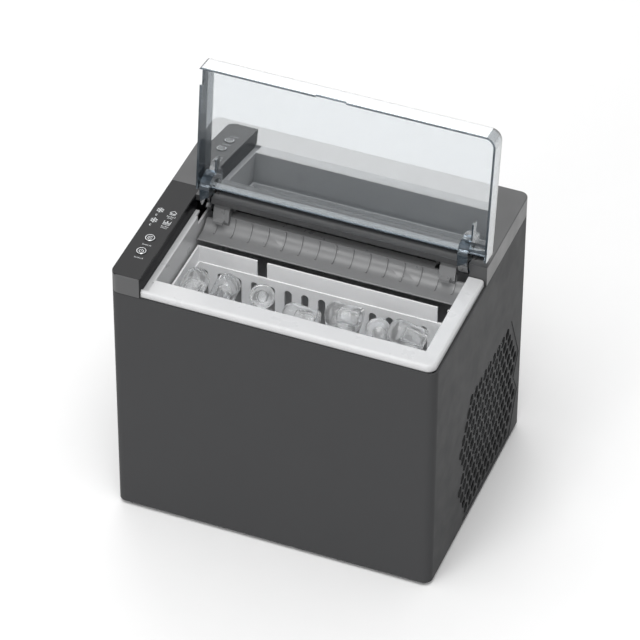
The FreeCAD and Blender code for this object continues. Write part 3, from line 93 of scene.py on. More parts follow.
def colour(name, description, default):
    return FloatVectorProperty(name=name, description=description, subtype="COLOR", size=3,
                               min=0, max=1, default=default)


def length(name, description, default):
    return FloatProperty(name=name, description=description, unit="LENGTH", min=0, default=default)


def watts(name, description, default):
    return FloatProperty(name=name, description=description, unit="POWER", min=0, default=default)


class IceMakerColours(bpy.types.PropertyGroup):
    case: colour("Case", "Dark grey moulding of the case and deck", (0.056, 0.0565, 0.058))
    strip: colour("Strip", "Gloss touch plate", (0.011, 0.011, 0.012))
    print: colour("Print", "Printed marks on the touch plate", (0.72, 0.74, 0.75))
    white: colour("White", "Tub and rim", (0.57, 0.573, 0.58))
    basket: colour("Basket", "Lift-out basket", (0.90, 0.903, 0.91))
    smoke: colour("Smoke", "Translucent shovel and water tray", (0.26, 0.262, 0.266))
    lid: colour("Lid", "Tint of the clear lid", (0.95, 0.965, 0.98))
    ice: colour("Ice", "Tint of the ice", (0.93, 0.935, 0.94))
    floor: colour("Floor", "Studio floor", (0.90, 0.90, 0.90))


class IceMakerSizes(bpy.types.PropertyGroup):
    mark_stroke: length("Mark stroke", "Line width of the printed marks", 0.55 * MM)
    mark_radius: length("Mark radius", "Half the height of a printed symbol", 3.4 * MM)
    mark_height: length("Mark height", "Thickness of the printed marks", 0.06 * MM)
    ring_radius: length("Ring radius", "Outer radius of a key's metal ring", 4.7 * MM)
    ring_width: length("Ring width", "Width of a key's metal ring", 0.85 * MM)
    ice_grain: length("Ice grain", "Size of the faces on the ice", 0.9 * MM)
    ice_melt: length("Ice melt", "How far the ice's surface waves in and out", 0.7 * MM)


class IceMakerStudio(bpy.types.PropertyGroup):
    azimuth: FloatProperty(name="Azimuth", description="Camera's turn to the right of the front, in degrees",
                           default=21.361)
    elevation: FloatProperty(name="Elevation", description="Camera's height above the horizon, in degrees",
                             default=40.735)
    roll: FloatProperty(name="Roll", description="Camera's turn about its own line of sight, in degrees",
                        default=0.3214)
    distance: length("Distance", "Camera to the point that it looks at", 3.9367)
    lens: FloatProperty(name="Lens", description="Focal length in millimetres", min=1, default=234.38)
    key_power: watts("Key", "Power of the overhead softbox", 60)
    fill_power: watts("Fill", "Power of the front softbox", 30)
    back_power: watts("Back", "Power of the softbox behind", 36)
    sky: FloatProperty(name="Sky", description="Brightness of the white surroundings", min=0, default=0.62)


def colours():
    return bpy.context.scene.ice_maker_colours


def sizes():
    return bpy.context.scene.ice_maker_sizes


def studio():
    return bpy.context.scene.ice_maker_studio


# ---------------------------------------------------------------- finishes

class Finish:
    """A material being built: its main shader and the pattern nodes that feed it."""

    def __init__(self, name, base, roughness, **sockets):
        self.material = bpy.data.materials.new(name)
        self.material.use_nodes = True
        self.nodes = self.material.node_tree.nodes
        self.links = self.material.node_tree.links
        self.shader = self.nodes["Principled BSDF"]
        self.base = tuple(base)
        self.shader.inputs["Base Color"].default_value = (*self.base, 1)
        self.shader.inputs["Roughness"].default_value = roughness
        for socket, value in sockets.items():
            self.shader.inputs[socket.replace("_", " ")].default_value = value
        self.place = self.nodes.new("ShaderNodeTexCoord").outputs["Object"]
        self.surface = self.shader.outputs["BSDF"]

    def noise(self, grain, detail, stretch=(1, 1, 1)):
        """A cloudy pattern with features of about the given size in metres."""
        mapping = self.nodes.new("ShaderNodeMapping")
        mapping.inputs["Scale"].default_value = stretch
        self.links.new(self.place, mapping.inputs["Vector"])
        pattern = self.nodes.new("ShaderNodeTexNoise")
        pattern.inputs["Scale"].default_value = 1 / grain
        pattern.inputs["Detail"].default_value = detail
        self.links.new(mapping.outputs["Vector"], pattern.inputs["Vector"])
        return pattern.outputs["Fac"]

    def ranged(self, source, low, high, start=0.3, end=0.7):
        """The source's middle span stretched to run from low to high."""
        node = self.nodes.new("ShaderNodeMapRange")
        for socket, value in (("From Min", start), ("From Max", end), ("To Min", low), ("To Max", high)):
            node.inputs[socket].default_value = value
        self.links.new(source, node.inputs["Value"])
        return node.outputs["Result"]

    def tint(self, source, dark, light):
        """Lets the base colour run from dark to light times itself."""
        mix = self.nodes.new("ShaderNodeMix")
        mix.data_type = "RGBA"
        mix.inputs["A"].default_value = (*(dark * part for part in self.base), 1)
        mix.inputs["B"].default_value = (*(light * part for part in self.base), 1)
        self.links.new(source, mix.inputs["Factor"])
        self.links.new(mix.outputs["Result"], self.shader.inputs["Base Color"])

    def gloss(self, source, low, high):
        """Lets the roughness run from low to high."""
        self.links.new(self.ranged(source, low, high), self.shader.inputs["Roughness"])

    def relief(self, source, depth, strength=1.0):
        """Adds a bump of the given depth in metres."""
        bump = self.nodes.new("ShaderNodeBump")
        bump.inputs["Strength"].default_value = strength
        bump.inputs["Distance"].default_value = depth
        self.links.new(source, bump.inputs["Height"])
        self.links.new(bump.outputs["Normal"], self.shader.inputs["Normal"])

    def mirrored(self, share, shade, roughness):
        """Mixes in a mirror-like skin that takes the given share of the light."""
        skin = self.nodes.new("ShaderNodeBsdfGlossy")
        skin.inputs["Color"].default_value = (*shade, 1)
        self.links.new(roughness, skin.inputs["Roughness"])
        mix = self.nodes.new("ShaderNodeMixShader")
        mix.inputs["Fac"].default_value = share
        self.links.new(self.surface, mix.inputs[1])
        self.links.new(skin.outputs["BSDF"], mix.inputs[2])
        self.surface = mix.outputs["Shader"]

    def absorbs(self, shade, density):
        """Darkens the light by how much of the material it goes through."""
        depth = self.nodes.new("ShaderNodeVolumeAbsorption")
        depth.inputs["Color"].default_value = (*shade, 1)
        depth.inputs["Density"].default_value = density
        self.links.new(depth.outputs["Volume"], self.nodes["Material Output"].inputs["Volume"])

    def lets_light_through(self, shade):
        """Rays from lamps pass, tinted by shade, so that what is behind isn't left in black shadow."""
        path = self.nodes.new("ShaderNodeLightPath")
        clear = self.nodes.new("ShaderNodeBsdfTransparent")
        clear.inputs["Color"].default_value = (*shade, 1)
        mix = self.nodes.new("ShaderNodeMixShader")
        self.links.new(path.outputs["Is Shadow Ray"], mix.inputs["Fac"])
        self.links.new(self.surface, mix.inputs[1])
        self.links.new(clear.outputs["BSDF"], mix.inputs[2])
        self.links.new(mix.outputs["Shader"], self.nodes["Material Output"].inputs["Surface"])


def moulded(name, base, roughness, grain=0.5 * MM, depth=0.012 * MM, mottle=0.05, **sockets):
    """Moulded plastic: faint mottling, uneven gloss and a fine grain."""
    finish = Finish(name, base, roughness, **sockets)
    cloud = finish.noise(grain=38 * MM, detail=4)
    finish.tint(cloud, dark=1 - mottle, light=1 + mottle)
    uneven = finish.noise(grain=21 * MM, detail=5)
    finish.gloss(uneven, low=roughness * 0.86, high=roughness * 1.14)
    finish.relief(finish.noise(grain, detail=2), depth)
    return finish.material


def metal(name, base, roughness, stretch=(1, 1, 1), grain=0.8 * MM, depth=0.01 * MM):
    """Bare or plated metal, with its grain drawn out along the axis that stretch leaves short."""
    finish = Finish(name, base, roughness, Metallic=1.0)
    streak = finish.noise(grain, detail=4, stretch=stretch)
    finish.tint(streak, dark=0.88, light=1.06)
    finish.gloss(streak, low=roughness * 0.75, high=roughness * 1.35)
    finish.relief(streak, depth)
    return finish.material


def clear_plastic():
    """The lid's tinted clear moulding, with a mirror-like skin and a depth that darkens edges."""
    finish = Finish("clear lid plastic", colours().lid, 0.012, Transmission_Weight=1.0, IOR=1.49)
    wiped = finish.noise(grain=30 * MM, detail=4, stretch=(1, 0.35, 0.35))
    finish.tint(wiped, dark=0.985, light=1.01)
    finish.gloss(wiped, low=0.006, high=0.018)
    finish.mirrored(share=0.42, shade=(0.97, 0.98, 0.985), roughness=finish.ranged(wiped, 0.008, 0.02))
    finish.absorbs(shade=(0.10, 0.20, 0.26), density=210)
    finish.lets_light_through(shade=(0.5, 0.53, 0.55))
    return finish.material


def painted_edge_shade():
    """Painted shade: the same clear moulding made darker and less clear, standing in for the dark look of its
    edges where its tint gathers through the thickness.
    """
    finish = Finish("clear lid edge", (0.05, 0.065, 0.08), 0.1, Transmission_Weight=0.55, IOR=1.49)
    cloud = finish.noise(grain=7 * MM, detail=3, stretch=(1, 1, 0.12))
    finish.tint(cloud, dark=0.5, light=1.8)
    finish.gloss(cloud, low=0.05, high=0.2)
    finish.relief(cloud, depth=0.015 * MM)
    finish.lets_light_through(shade=(0.35, 0.38, 0.4))
    return finish.material


def frozen():
    """Half-clear ice with a cloudy core and a wet skin."""
    finish = Finish("clouded ice", colours().ice, 0.14, Transmission_Weight=0.9, IOR=1.31,
                    Coat_Weight=0.6, Coat_Roughness=0.05)
    cloud = finish.noise(grain=9 * MM, detail=5)
    finish.tint(cloud, dark=0.93, light=1.06)
    finish.gloss(cloud, low=0.05, high=0.3)
    finish.relief(finish.noise(grain=3.2 * MM, detail=3), depth=0.25 * MM, strength=0.7)
    finish.lets_light_through(shade=(0.86, 0.87, 0.88))
    return finish.material


def smoked():
    """Translucent grey moulding of the shovel and the water tray."""
    finish = Finish("translucent grey plastic", colours().smoke, 0.3, Transmission_Weight=0.2, IOR=1.49)
    cloud = finish.noise(grain=14 * MM, detail=4)
    finish.tint(cloud, dark=0.88, light=1.08)
    finish.gloss(cloud, low=0.27, high=0.36)
    finish.relief(finish.noise(grain=4 * MM, detail=2), depth=0.008 * MM)
    finish.lets_light_through(shade=(0.35, 0.36, 0.37))
    return finish.material


def circuit_board():
    """Green board with a pattern of tracks."""
    finish = Finish("circuit board", (0.03, 0.16, 0.07), 0.35, Coat_Weight=0.4)
    tracks = finish.nodes.new("ShaderNodeTexBrick")
    tracks.inputs["Scale"].default_value = 260
    tracks.inputs["Mortar Size"].default_value = 0.06
    finish.links.new(finish.place, tracks.inputs["Vector"])
    finish.tint(tracks.outputs["Fac"], dark=0.8, light=1.9)
    finish.relief(tracks.outputs["Fac"], depth=0.03 * MM)
    return finish.material


def dress(material, *names):
    """Gives CAD nodes their finish."""
    for name in names:
        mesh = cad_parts[name].data
        mesh.materials.clear()
        mesh.materials.append(material)


def dress_faces(material, name, chosen):
    """Gives some faces of a CAD node a second finish: those whose centre and normal pass the test."""
    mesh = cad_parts[name].data
    mesh.materials.append(material)
    number = len(mesh.materials) - 1
    for face in mesh.polygons:
        if chosen(face.center, face.normal):
            face.material_index = number


# ---------------------------------------------------------------- shaping

def piece(name, shape, material, body, smooth=False):
    """An object from a bmesh, riding on a CAD body."""
    mesh = bpy.data.meshes.new(name)
    bmesh.ops.remove_doubles(shape, verts=shape.verts, dist=WELD)
    bmesh.ops.recalc_face_normals(shape, faces=shape.faces)
    shape.to_mesh(mesh)
    shape.free()
    mesh.materials.append(material)
    if smooth:
        mesh.polygons.foreach_set("use_smooth", [True] * len(mesh.polygons))
        mesh.set_sharp_from_angle(angle=ROUND_EDGE)
    thing = bpy.data.objects.new(name, mesh)
    bpy.context.scene.collection.objects.link(thing)
    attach(thing, body)
    return thing


def prism(shape, outline, low, high):
    """Adds a closed prism with the outline's (x, y) points, from low to high."""
    bottom = [shape.verts.new((x, y, low)) for x, y in outline]
    top = [shape.verts.new((x, y, high)) for x, y in outline]
    shape.faces.new(bottom)
    shape.faces.new(top)
    for n in range(len(outline)):
        m = (n + 1) % len(outline)
        shape.faces.new((bottom[n], bottom[m], top[m], top[n]))


def stroke(shape, start, end, width, low, high):
    """Adds a straight line of a printed mark, with square ends."""
    a, b = Vector(start), Vector(end)
    along = (b - a).normalized() * (width / 2)
    side = Vector((-along.y, along.x))
    prism(shape, [a - side - along, b - side + along, b + side + along, a + side - along], low, high)


def ribbon(shape, points, width, low, high):
    """Adds a bent line through points as one strip that narrows a little at its corners."""
    points = [Vector(p) for p in points]
    left, right = [], []
    for n, p in enumerate(points):
        before = (p - points[n - 1]).normalized() if n else None
        after = (points[n + 1] - p).normalized() if n < len(points) - 1 else None
        way = ((before or after) + (after or before)).normalized()
        side = Vector((-way.y, way.x)) * (width / 2)
        left.append(p + side)
        right.append(p - side)
    for n in range(len(points) - 1):
        prism(shape, [left[n], right[n], right[n + 1], left[n + 1]], low, high)


def polar(angle):
    """The flat unit vector at an angle in degrees."""
    return Vector((math.cos(math.radians(angle)), math.sin(math.radians(angle))))


def arc(centre, radius, start, end, steps):
    """Points on an arc, with angles in degrees."""
    return [Vector(centre) + radius * polar(start + (end - start) * n / steps) for n in range(steps + 1)]


def turned(shape, centre, profile, steps=64):
    """Adds a solid turned about an upright axis from (radius, height) points."""
    rings = []
    for radius, height in profile:
        if radius == 0:
            rings.append([shape.verts.new((centre[0], centre[1], height))])
            continue
        rings.append([shape.verts.new((centre[0] + radius * math.cos(2 * math.pi * n / steps),
                                       centre[1] + radius * math.sin(2 * math.pi * n / steps), height))
                      for n in range(steps)])
    for a, b in zip(rings, rings[1:]):
        for n in range(steps):
            m = (n + 1) % steps
            corners = [a[n % len(a)], a[m % len(a)], b[m % len(b)], b[n % len(b)]]
            shape.faces.new(list(dict.fromkeys(corners)))


# ---------------------------------------------------------------- printed marks

# Every sign is drawn from factors of its radius, so that one size changes all of it.

def placed(centre, radius, points):
    """Points given as factors of the radius, set about the centre."""
    return [centre + Vector(p) * radius for p in points]


def snowflake(shape, centre, radius, width, low, high):
    """Three crossed bars with a pair of barbs near each end."""
    for turn in range(0, 180, 60):
        way = polar(turn + 90) * radius
        stroke(shape, centre - way, centre + way, width, low, high)
        for sign in (-1, 1):
            knee = centre + sign * way * 0.58
            for lean in (-52, 52):
                tip = Matrix.Rotation(math.radians(lean), 2) @ (sign * way * 0.36)
                stroke(shape, knee, knee + tip, width * 0.8, low, high)


def drop(centre, radius):
    """The outline of a drop of water."""
    belly = arc(centre - Vector((0, radius * 0.25)), radius * 0.62, 150, 390, steps=20)
    return [Vector((centre.x, centre.y + radius))] + belly


def full_bin(shape, centre, radius, width, low, high):
    """A roofed bin with two blocks of ice in it."""
    roof = placed(centre, radius, ((-1.05, 0.1), (0, 1), (1.05, 0.1)))
    walls = placed(centre, radius, ((-0.78, 0.2), (-0.78, -0.85), (0.78, -0.85), (0.78, 0.2)))
    ribbon(shape, roof, width, low, high)
    ribbon(shape, walls, width, low, high)
    for x in (-0.32, 0.32):
        middle = centre + Vector((x, -0.35)) * radius
        block = placed(middle, radius * 0.2, ((-1, -1), (1, -1), (1, 1), (-1, 1)))
        prism(shape, block, low, high)


def add_water(shape, centre, radius, width, low, high):
    """A tank with waves and a drop falling in."""
    tank = placed(centre, radius, ((-1, 0.9), (-1, -0.85), (1, -0.85), (1, 0.9)))
    ribbon(shape, tank, width, low, high)
    for y in (-0.35, 0.02):
        wave = placed(centre, radius, ((x / 6, y + 0.09 * math.sin(x * 1.6)) for x in range(-5, 6)))
        ribbon(shape, wave, width * 0.8, low, high)
    prism(shape, drop(centre + Vector((0, radius * 0.55)), radius * 0.36), low, high)


def power_sign(shape, centre, radius, width, low, high):
    """A ring open at the top with a bar in the gap."""
    ribbon(shape, arc(centre, radius, 125, 415, steps=30), width, low, high)
    stroke(shape, centre + Vector((0, radius * 0.25)), centre + Vector((0, radius * 1.15)), width, low, high)


def choose_sign(shape, centre, radius, width, low, high):
    """A loop with an arrow head, for choosing the ice size."""
    gap_start, gap_end = 60, 345
    ribbon(shape, arc(centre, radius, gap_start, gap_end, steps=30), width, low, high)
    tip = centre + radius * polar(gap_start)
    prism(shape, placed(tip, radius * 0.5, ((-0.2, 0.9), (1.1, 0.15), (-0.3, -0.7))), low, high)
    stroke(shape, centre - Vector((radius * 0.3, 0)), centre + Vector((radius * 0.3, 0)), width, low, high)


# Each symbol by the lamps: its name, how it is drawn, its centre in mm and its scale.
MARKS = (
    ("mark_cold", snowflake, (-152.0, -25.7), 1.0),
    ("mark_bin_full", full_bin, (-138.7, -25.9), 0.95),
    ("mark_colder", snowflake, (-151.8, -41.4), 1.0),
    ("mark_add_water", add_water, (-138.8, -41.0), 0.95),
)


# ---------------------------------------------------------------- operators

class IceMakerStep:
    """What the steps share: each can be undone."""

    bl_options = {"REGISTER", "UNDO"}


class ICEMAKER_OT_case(IceMakerStep, bpy.types.Operator):
    """Dress the case, the deck, the rear panel and the feet"""

    bl_idname = "icemaker.case"
    bl_label = "Case"

    def execute(self, context):
        shell = moulded("dark grey case moulding", colours().case, 0.36, grain=0.6 * MM, depth=0.002 * MM,
                        mottle=0.02, Specular_IOR_Level=0.02)
        dress(shell, "outer_shell")
        deck = moulded("dark grey deck moulding", colours().case, 0.33, grain=0.6 * MM, depth=0.002 * MM,
                       mottle=0.02, Specular_IOR_Level=0.6)
        dress(deck, "top_deck")
        # Painted shade: the upright step wall gets a near-black copy of the deck moulding with its reflection
        # turned down, standing in for the shade it sits in.
        gloss = moulded("gloss black step", (0.006, 0.006, 0.007), 0.2, grain=2 * MM, depth=0.002 * MM,
                        mottle=0.02, Specular_IOR_Level=0.04)
        dress_faces(gloss, "top_deck", self.on_the_step)
        coated = moulded("dark coated sheet", (0.05, 0.05, 0.052), 0.5, grain=0.7 * MM, depth=0.02 * MM,
                         mottle=0.08)
        dress(coated, "rear_panel", "base_pan", "compressor_bracket", "fan_bracket", "evaporator_bracket")
        rubber = moulded("foot rubber", (0.025, 0.025, 0.025), 0.72, grain=0.4 * MM, depth=0.03 * MM,
                         mottle=0.12)
        dress(rubber, "rubber_feet", "compressor_grommets", "water_hose")
        dress(metal("zinc screw", (0.55, 0.55, 0.54), 0.35), "rear_screws")
        dress(moulded("black gland", (0.03, 0.03, 0.03), 0.45), "cord_gland")
        foam = moulded("charcoal foam", (0.03, 0.03, 0.032), 0.9, grain=1.2 * MM, depth=0.12 * MM, mottle=0.08)
        dress(foam, "insulation_foam")
        return {"FINISHED"}

    def on_the_step(self, centre, normal):
        """The upright wall between the touch plate and the tub, which is painted near black as shade."""
        step_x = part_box("control_plate")[1].x + 0.2 * MM
        return normal.x > 0.9 and abs(centre.x - step_x) < 0.3 * MM


class ICEMAKER_OT_strip(IceMakerStep, bpy.types.Operator):
    """Dress the touch plate, print its marks and make its two ringed keys"""

    bl_idname = "icemaker.strip"
    bl_label = "Control strip"

    def execute(self, context):
        black = moulded("gloss touch plate", colours().strip, 0.2, grain=3 * MM, depth=0.002 * MM,
                        mottle=0.03, Specular_IOR_Level=0.2)
        dress(black, "control_plate")
        printed = moulded("pale print", colours().print, 0.5, grain=0.3 * MM, depth=0.004 * MM, mottle=0.06)
        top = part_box("control_plate")[1].z
        low, high = top - PRINT_ROOT, top + sizes().mark_height
        width = sizes().mark_stroke
        for name, draw, place, scale in MARKS:
            shape = bmesh.new()
            draw(shape, Vector(place) * MM, sizes().mark_radius * scale, width, low, high)
            piece(name, shape, printed, "case")
        captions = bmesh.new()
        for x, y, ticks in CAPTIONS:
            self.caption(captions, x * MM, y * MM, ticks, low, high)
        piece("caption_bars", captions, printed, "case")
        crescents = bmesh.new()
        for place in CRESCENTS:
            bow = arc(Vector(place) * MM, CRESCENT_RADIUS, 70, 290, steps=14)
            ribbon(crescents, bow, width * 0.9, low, high)
        piece("size_marks", crescents, printed, "case")
        for body, sign in (("power_button", power_sign), ("select_button", choose_sign)):
            self.key(body, sign, printed, black)
        dress(circuit_board(), "control_board")
        return {"FINISHED"}

    def caption(self, shape, x, y, ticks, low, high):
        """A row of short upright ticks, every third one taller, in place of a caption."""
        for number in range(ticks):
            at = x + (number - (ticks - 1) / 2) * CAPTION_PITCH
            rise = CAPTION_HALF_HEIGHT * (1.9 if number % 3 == 0 else 0.8)
            stroke(shape, (at, y - CAPTION_HALF_HEIGHT), (at, y + rise), CAPTION_STROKE, low, high)

    def key(self, body, sign, printed, black):
        """A dished key on its stem, with a metal ring round it and its sign in the middle."""
        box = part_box(body)
        place = ((box[0] + box[1]) / 2).to_2d()
        outer, width, top = sizes().ring_radius, sizes().ring_width, box[1].z
        edge = (box[1].x - box[0].x) / 2
        base = top - 1.4 * MM
        dish = top - 0.55 * MM
        shape = bmesh.new()
        turned(shape, place, [(0, base), (edge, base), (edge, dish), (edge - 0.3 * MM, top - 0.35 * MM),
                              (outer - width, top - 0.3 * MM), (outer - 2 * width, top - 0.42 * MM), (0, dish)])
        stem_radius, stem_top = 2.4 * MM, base + 0.1 * MM
        stem = [(0, box[0].z), (stem_radius, box[0].z), (stem_radius, stem_top), (0, stem_top)]
        turned(shape, place, stem, steps=32)
        cap = piece(body + "_cap", shape, black, body, smooth=True)
        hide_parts(body)
        ring = bmesh.new()
        root = top - 0.5 * MM
        section = [(outer - width, root), (outer - width, top - 0.12 * MM), (outer - width * 0.75, top),
                   (outer - width * 0.25, top), (outer, top - 0.15 * MM), (outer, root), (outer - width, root)]
        turned(ring, place, section)
        bright = metal(body + " ring metal", (0.62, 0.63, 0.64), 0.25, stretch=(0.2, 1, 1))
        piece(body + "_ring", ring, bright, body, smooth=True)
        mark = bmesh.new()
        sign(mark, place, 2.1 * MM, sizes().mark_stroke, dish - 0.01 * MM, top - 0.38 * MM)
        piece(body + "_sign", mark, printed, body)


class ICEMAKER_OT_lid(IceMakerStep, bpy.types.Operator):
    """Dress the clear lid and its hinges"""

    bl_idname = "icemaker.lid"
    bl_label = "Lid"

    def execute(self, context):
        dress(clear_plastic(), "lid")
        outwards = Vector((0, math.sin(LID_OPEN), math.cos(LID_OPEN)))
        reach = max(v.co.dot(outwards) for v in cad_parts["lid"].data.vertices)
        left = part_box("lid")[0].x
        deck_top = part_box("top_deck")[1].z

        def on_an_edge(centre, normal):
            """The left skirt's sides, the rounded rim, the skirts' free edge and the hinge arms' flats, which
            get the painted edge shade.
            """
            depth = reach - centre.dot(outwards)
            side = abs(normal.x) > 0.9 and centre.x < left + 3 * MM
            rim = depth < 1.1 * MM and abs(normal.dot(outwards)) < 0.93
            free = depth > 6 * MM and normal.dot(outwards) < -0.9 and centre.z > deck_top
            arm = abs(centre.x) > 118 * MM and normal.z > 0.4 and centre.z < deck_top + 35 * MM
            return side or rim or free or arm

        # Painted shade: these edge faces get a darker, less clear finish in place of the dark outlines that the
        # lid's edges show.
        dress_faces(painted_edge_shade(), "lid", on_an_edge)
        pin = metal("hinge pin steel", (0.6, 0.6, 0.6), 0.28, stretch=(0.1, 1, 1))
        dress(pin, "hinge_pin_left", "hinge_pin_right")
        bracket = moulded("black hinge bracket", (0.02, 0.02, 0.02), 0.4)
        dress(bracket, "hinge_bracket_left", "hinge_bracket_right")
        return {"FINISHED"}


class ICEMAKER_OT_bin(IceMakerStep, bpy.types.Operator):
    """Dress the white tub and the lift-out basket"""

    bl_idname = "icemaker.bin"
    bl_label = "Tub and basket"

    def execute(self, context):
        tub = moulded("white tub moulding", colours().white, 0.3, grain=0.9 * MM, depth=0.004 * MM,
                      mottle=0.015, Coat_Weight=0.15)
        dress(tub, "bin_liner")
        basket = moulded("white basket moulding", colours().basket, 0.34, grain=0.8 * MM, depth=0.003 * MM,
                         mottle=0.02)
        dress(basket, "ice_basket")
        return {"FINISHED"}


class ICEMAKER_OT_ice(IceMakerStep, bpy.types.Operator):
    """Melt the edges of the ice bullets and give them their clouded finish"""

    bl_idname = "icemaker.ice"
    bl_label = "Ice"

    def execute(self, context):
        ice = bpy.data.objects.new("ice_pieces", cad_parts["ice_bullets"].data.copy())
        bpy.context.scene.collection.objects.link(ice)
        self.melt(ice)
        ice.data.materials.clear()
        ice.data.materials.append(frozen())
        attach(ice, "basket")
        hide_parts("ice_bullets")
        return {"FINISHED"}

    def melt(self, ice):
        """Rounds the edges and waves the surface, a little inwards on the whole."""
        remesh = ice.modifiers.new("even faces", "REMESH")
        remesh.mode = "VOXEL"
        remesh.voxel_size = sizes().ice_grain
        remesh.use_smooth_shade = True
        smooth = ice.modifiers.new("melted edges", "SMOOTH")
        smooth.iterations = 4
        waves = bpy.data.textures.new("melt waves", "CLOUDS")
        waves.noise_scale = 11 * MM
        melt = ice.modifiers.new("melt", "DISPLACE")
        melt.texture = waves
        melt.texture_coords = "LOCAL"
        melt.mid_level = 0.62
        melt.strength = sizes().ice_melt
        bpy.context.view_layer.update()
        ready = ice.evaluated_get(bpy.context.evaluated_depsgraph_get())
        ice.data = bpy.data.meshes.new_from_object(ready)
        ice.modifiers.clear()


class ICEMAKER_OT_freezer(IceMakerStep, bpy.types.Operator):
    """Dress the shovel, the water tray and the freezing fingers"""

    bl_idname = "icemaker.freezer"
    bl_label = "Shovel, tray and fingers"

    def execute(self, context):
        dress(smoked(), "ice_shovel", "water_tray")
        nickel = metal("nickel plating", (0.72, 0.71, 0.68), 0.18)
        dress(nickel, "evaporator_fingers", "evaporator_tube")
        rod = metal("drawn rod", (0.62, 0.62, 0.62), 0.25, stretch=(0.05, 1, 1))
        dress(rod, "shovel_shaft", "tray_shaft")
        black = moulded("black working parts", (0.028, 0.028, 0.03), 0.42)
        dress(black, "shovel_bracket_left", "shovel_bracket_right", "tray_motor", "tray_limit_switch",
              "ice_sensor_left", "ice_sensor_right")
        return {"FINISHED"}


class ICEMAKER_OT_machinery(IceMakerStep, bpy.types.Operator):
    """Dress the compressor, the condenser, the fan and the copper lines"""

    bl_idname = "icemaker.machinery"
    bl_label = "Machinery"

    def execute(self, context):
        enamel = moulded("black enamel", (0.012, 0.012, 0.013), 0.22, grain=3 * MM, depth=0.05 * MM,
                         mottle=0.1, Coat_Weight=0.5)
        dress(enamel, "compressor", "condenser_coil")
        dress(metal("fin aluminium", (0.42, 0.43, 0.44), 0.42, stretch=(1, 1, 0.08)), "condenser_fins")
        dress(metal("galvanised sheet", (0.5, 0.51, 0.52), 0.45, grain=6 * MM), "fan_shroud")
        dress(moulded("black fan plastic", (0.022, 0.022, 0.024), 0.38), "fan_blades", "fan_motor")
        copper = metal("bare copper", (0.72, 0.38, 0.24), 0.3, grain=5 * MM)
        dress(copper, "discharge_line", "suction_line", "liquid_line", "filter_drier", "solenoid_valve")
        return {"FINISHED"}


class ICEMAKER_OT_water(IceMakerStep, bpy.types.Operator):
    """Dress the pump, the float, the drain and the strainer"""

    bl_idname = "icemaker.water"
    bl_label = "Water parts"

    def execute(self, context):
        pale = moulded("pale water parts", (0.66, 0.67, 0.68), 0.4)
        dress(pale, "water_pump", "pump_impeller", "suction_strainer", "float_guide", "level_float")
        dress(moulded("black drain cap", (0.03, 0.03, 0.03), 0.5, depth=0.03 * MM), "drain_cap", "drain_spout")
        return {"FINISHED"}


class ICEMAKER_OT_electrics(IceMakerStep, bpy.types.Operator):
    """Dress the power board and the transformer"""

    bl_idname = "icemaker.electrics"
    bl_label = "Electrics"

    def execute(self, context):
        dress(circuit_board(), "power_board")
        dress(metal("transformer steel", (0.3, 0.3, 0.31), 0.5, grain=2 * MM), "transformer")
        return {"FINISHED"}


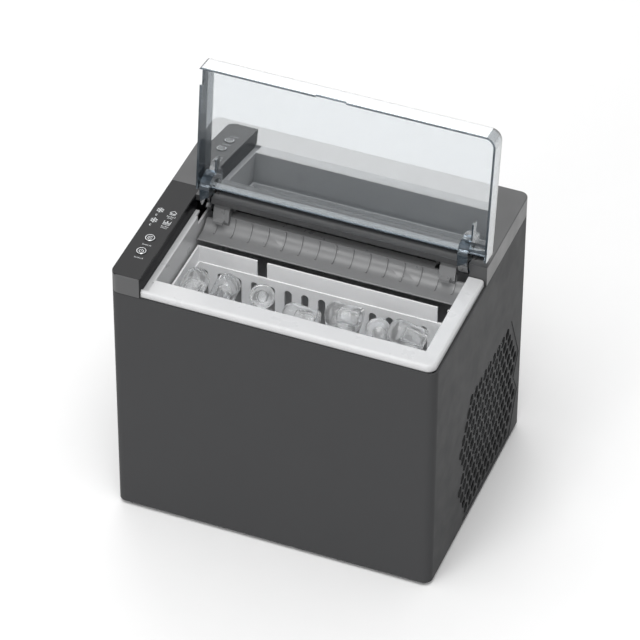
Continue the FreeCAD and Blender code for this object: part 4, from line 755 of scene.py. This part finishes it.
class ICEMAKER_OT_stage(IceMakerStep, bpy.types.Operator):
    """Set up the pale floor, the soft lights and the camera"""

    bl_idname = "icemaker.stage"
    bl_label = "Studio"

    def execute(self, context):
        context.scene.view_settings.view_transform = "Standard"
        self.floor(context.scene)
        self.surroundings(context.scene)
        for name, place, side, power in SOFTBOXES:
            self.softbox(context.scene, name, Vector(place), side, getattr(studio(), power))
        self.camera(context.scene)
        return {"FINISHED"}

    def floor(self, scene):
        r = FLOOR_REACH
        shape = bmesh.new()
        prism(shape, [(-r, -r), (r, -r), (r, r), (-r, r)], -FLOOR_DEPTH, 0)
        mesh = bpy.data.meshes.new("studio_floor")
        shape.to_mesh(mesh)
        shape.free()
        pale = moulded("pale floor", colours().floor, 0.7, grain=3 * MM, depth=0.01 * MM, mottle=0.006)
        mesh.materials.append(pale)
        floor = bpy.data.objects.new("studio_floor", mesh)
        scene.collection.objects.link(floor)

    def surroundings(self, scene):
        world = bpy.data.worlds.new("white surroundings")
        world.use_nodes = True
        sky = world.node_tree.nodes["Background"]
        sky.inputs["Color"].default_value = (1, 1, 1, 1)
        sky.inputs["Strength"].default_value = studio().sky
        scene.world = world

    def softbox(self, scene, name, place, side, power):
        """A square lamp that points at the machine."""
        lamp = bpy.data.lights.new(name, "AREA")
        lamp.size = side
        lamp.energy = power
        holder = bpy.data.objects.new(name, lamp)
        holder.location = place
        holder.rotation_mode = "QUATERNION"
        holder.rotation_quaternion = (AIM - place).to_track_quat("-Z", "Y")
        scene.collection.objects.link(holder)

    def camera(self, scene):
        turn, rise = math.radians(studio().azimuth), math.radians(studio().elevation)
        back = Vector((math.sin(turn) * math.cos(rise), -math.cos(turn) * math.cos(rise), math.sin(rise)))
        lens = bpy.data.cameras.new("camera")
        lens.lens = studio().lens
        lens.sensor_width = SENSOR_WIDTH
        lens.clip_start, lens.clip_end = 0.1, 60
        holder = bpy.data.objects.new("camera", lens)
        holder.location = AIM + back * studio().distance
        holder.rotation_mode = "QUATERNION"
        roll = Quaternion((0, 0, 1), math.radians(studio().roll))
        holder.rotation_quaternion = (-back).to_track_quat("-Z", "Y") @ roll
        scene.collection.objects.link(holder)
        scene.camera = holder


STEPS = (ICEMAKER_OT_case, ICEMAKER_OT_strip, ICEMAKER_OT_lid, ICEMAKER_OT_bin, ICEMAKER_OT_ice,
         ICEMAKER_OT_freezer, ICEMAKER_OT_machinery, ICEMAKER_OT_water, ICEMAKER_OT_electrics,
         ICEMAKER_OT_stage)

SETTINGS = (
    ("ice_maker_colours", IceMakerColours),
    ("ice_maker_sizes", IceMakerSizes),
    ("ice_maker_studio", IceMakerStudio),
)


class ICEMAKER_PT_panel(bpy.types.Panel):
    """Lists the steps that dress the ice maker, and its settings"""

    bl_label = "Ice Maker"
    bl_idname = "ICEMAKER_PT_panel"
    bl_space_type = "VIEW_3D"
    bl_region_type = "UI"
    bl_category = "Ice Maker"

    def draw(self, context):
        for step in STEPS:
            self.layout.operator(step.bl_idname)
        for name, group in SETTINGS:
            box = self.layout.box()
            for setting in group.__annotations__:
                box.prop(getattr(context.scene, name), setting)


def register():
    for name, group in SETTINGS:
        bpy.utils.register_class(group)
        setattr(bpy.types.Scene, name, PointerProperty(type=group))
    for cls in (*STEPS, ICEMAKER_PT_panel):
        bpy.utils.register_class(cls)


def unregister():
    for cls in reversed((*STEPS, ICEMAKER_PT_panel)):
        bpy.utils.unregister_class(cls)
    for name, group in reversed(SETTINGS):
        delattr(bpy.types.Scene, name)
        bpy.utils.unregister_class(group)


def main():
    register()
    for step in STEPS:
        family, name = step.bl_idname.split(".")
        getattr(getattr(bpy.ops, family), name)()


if __name__ == "__main__":
    main()
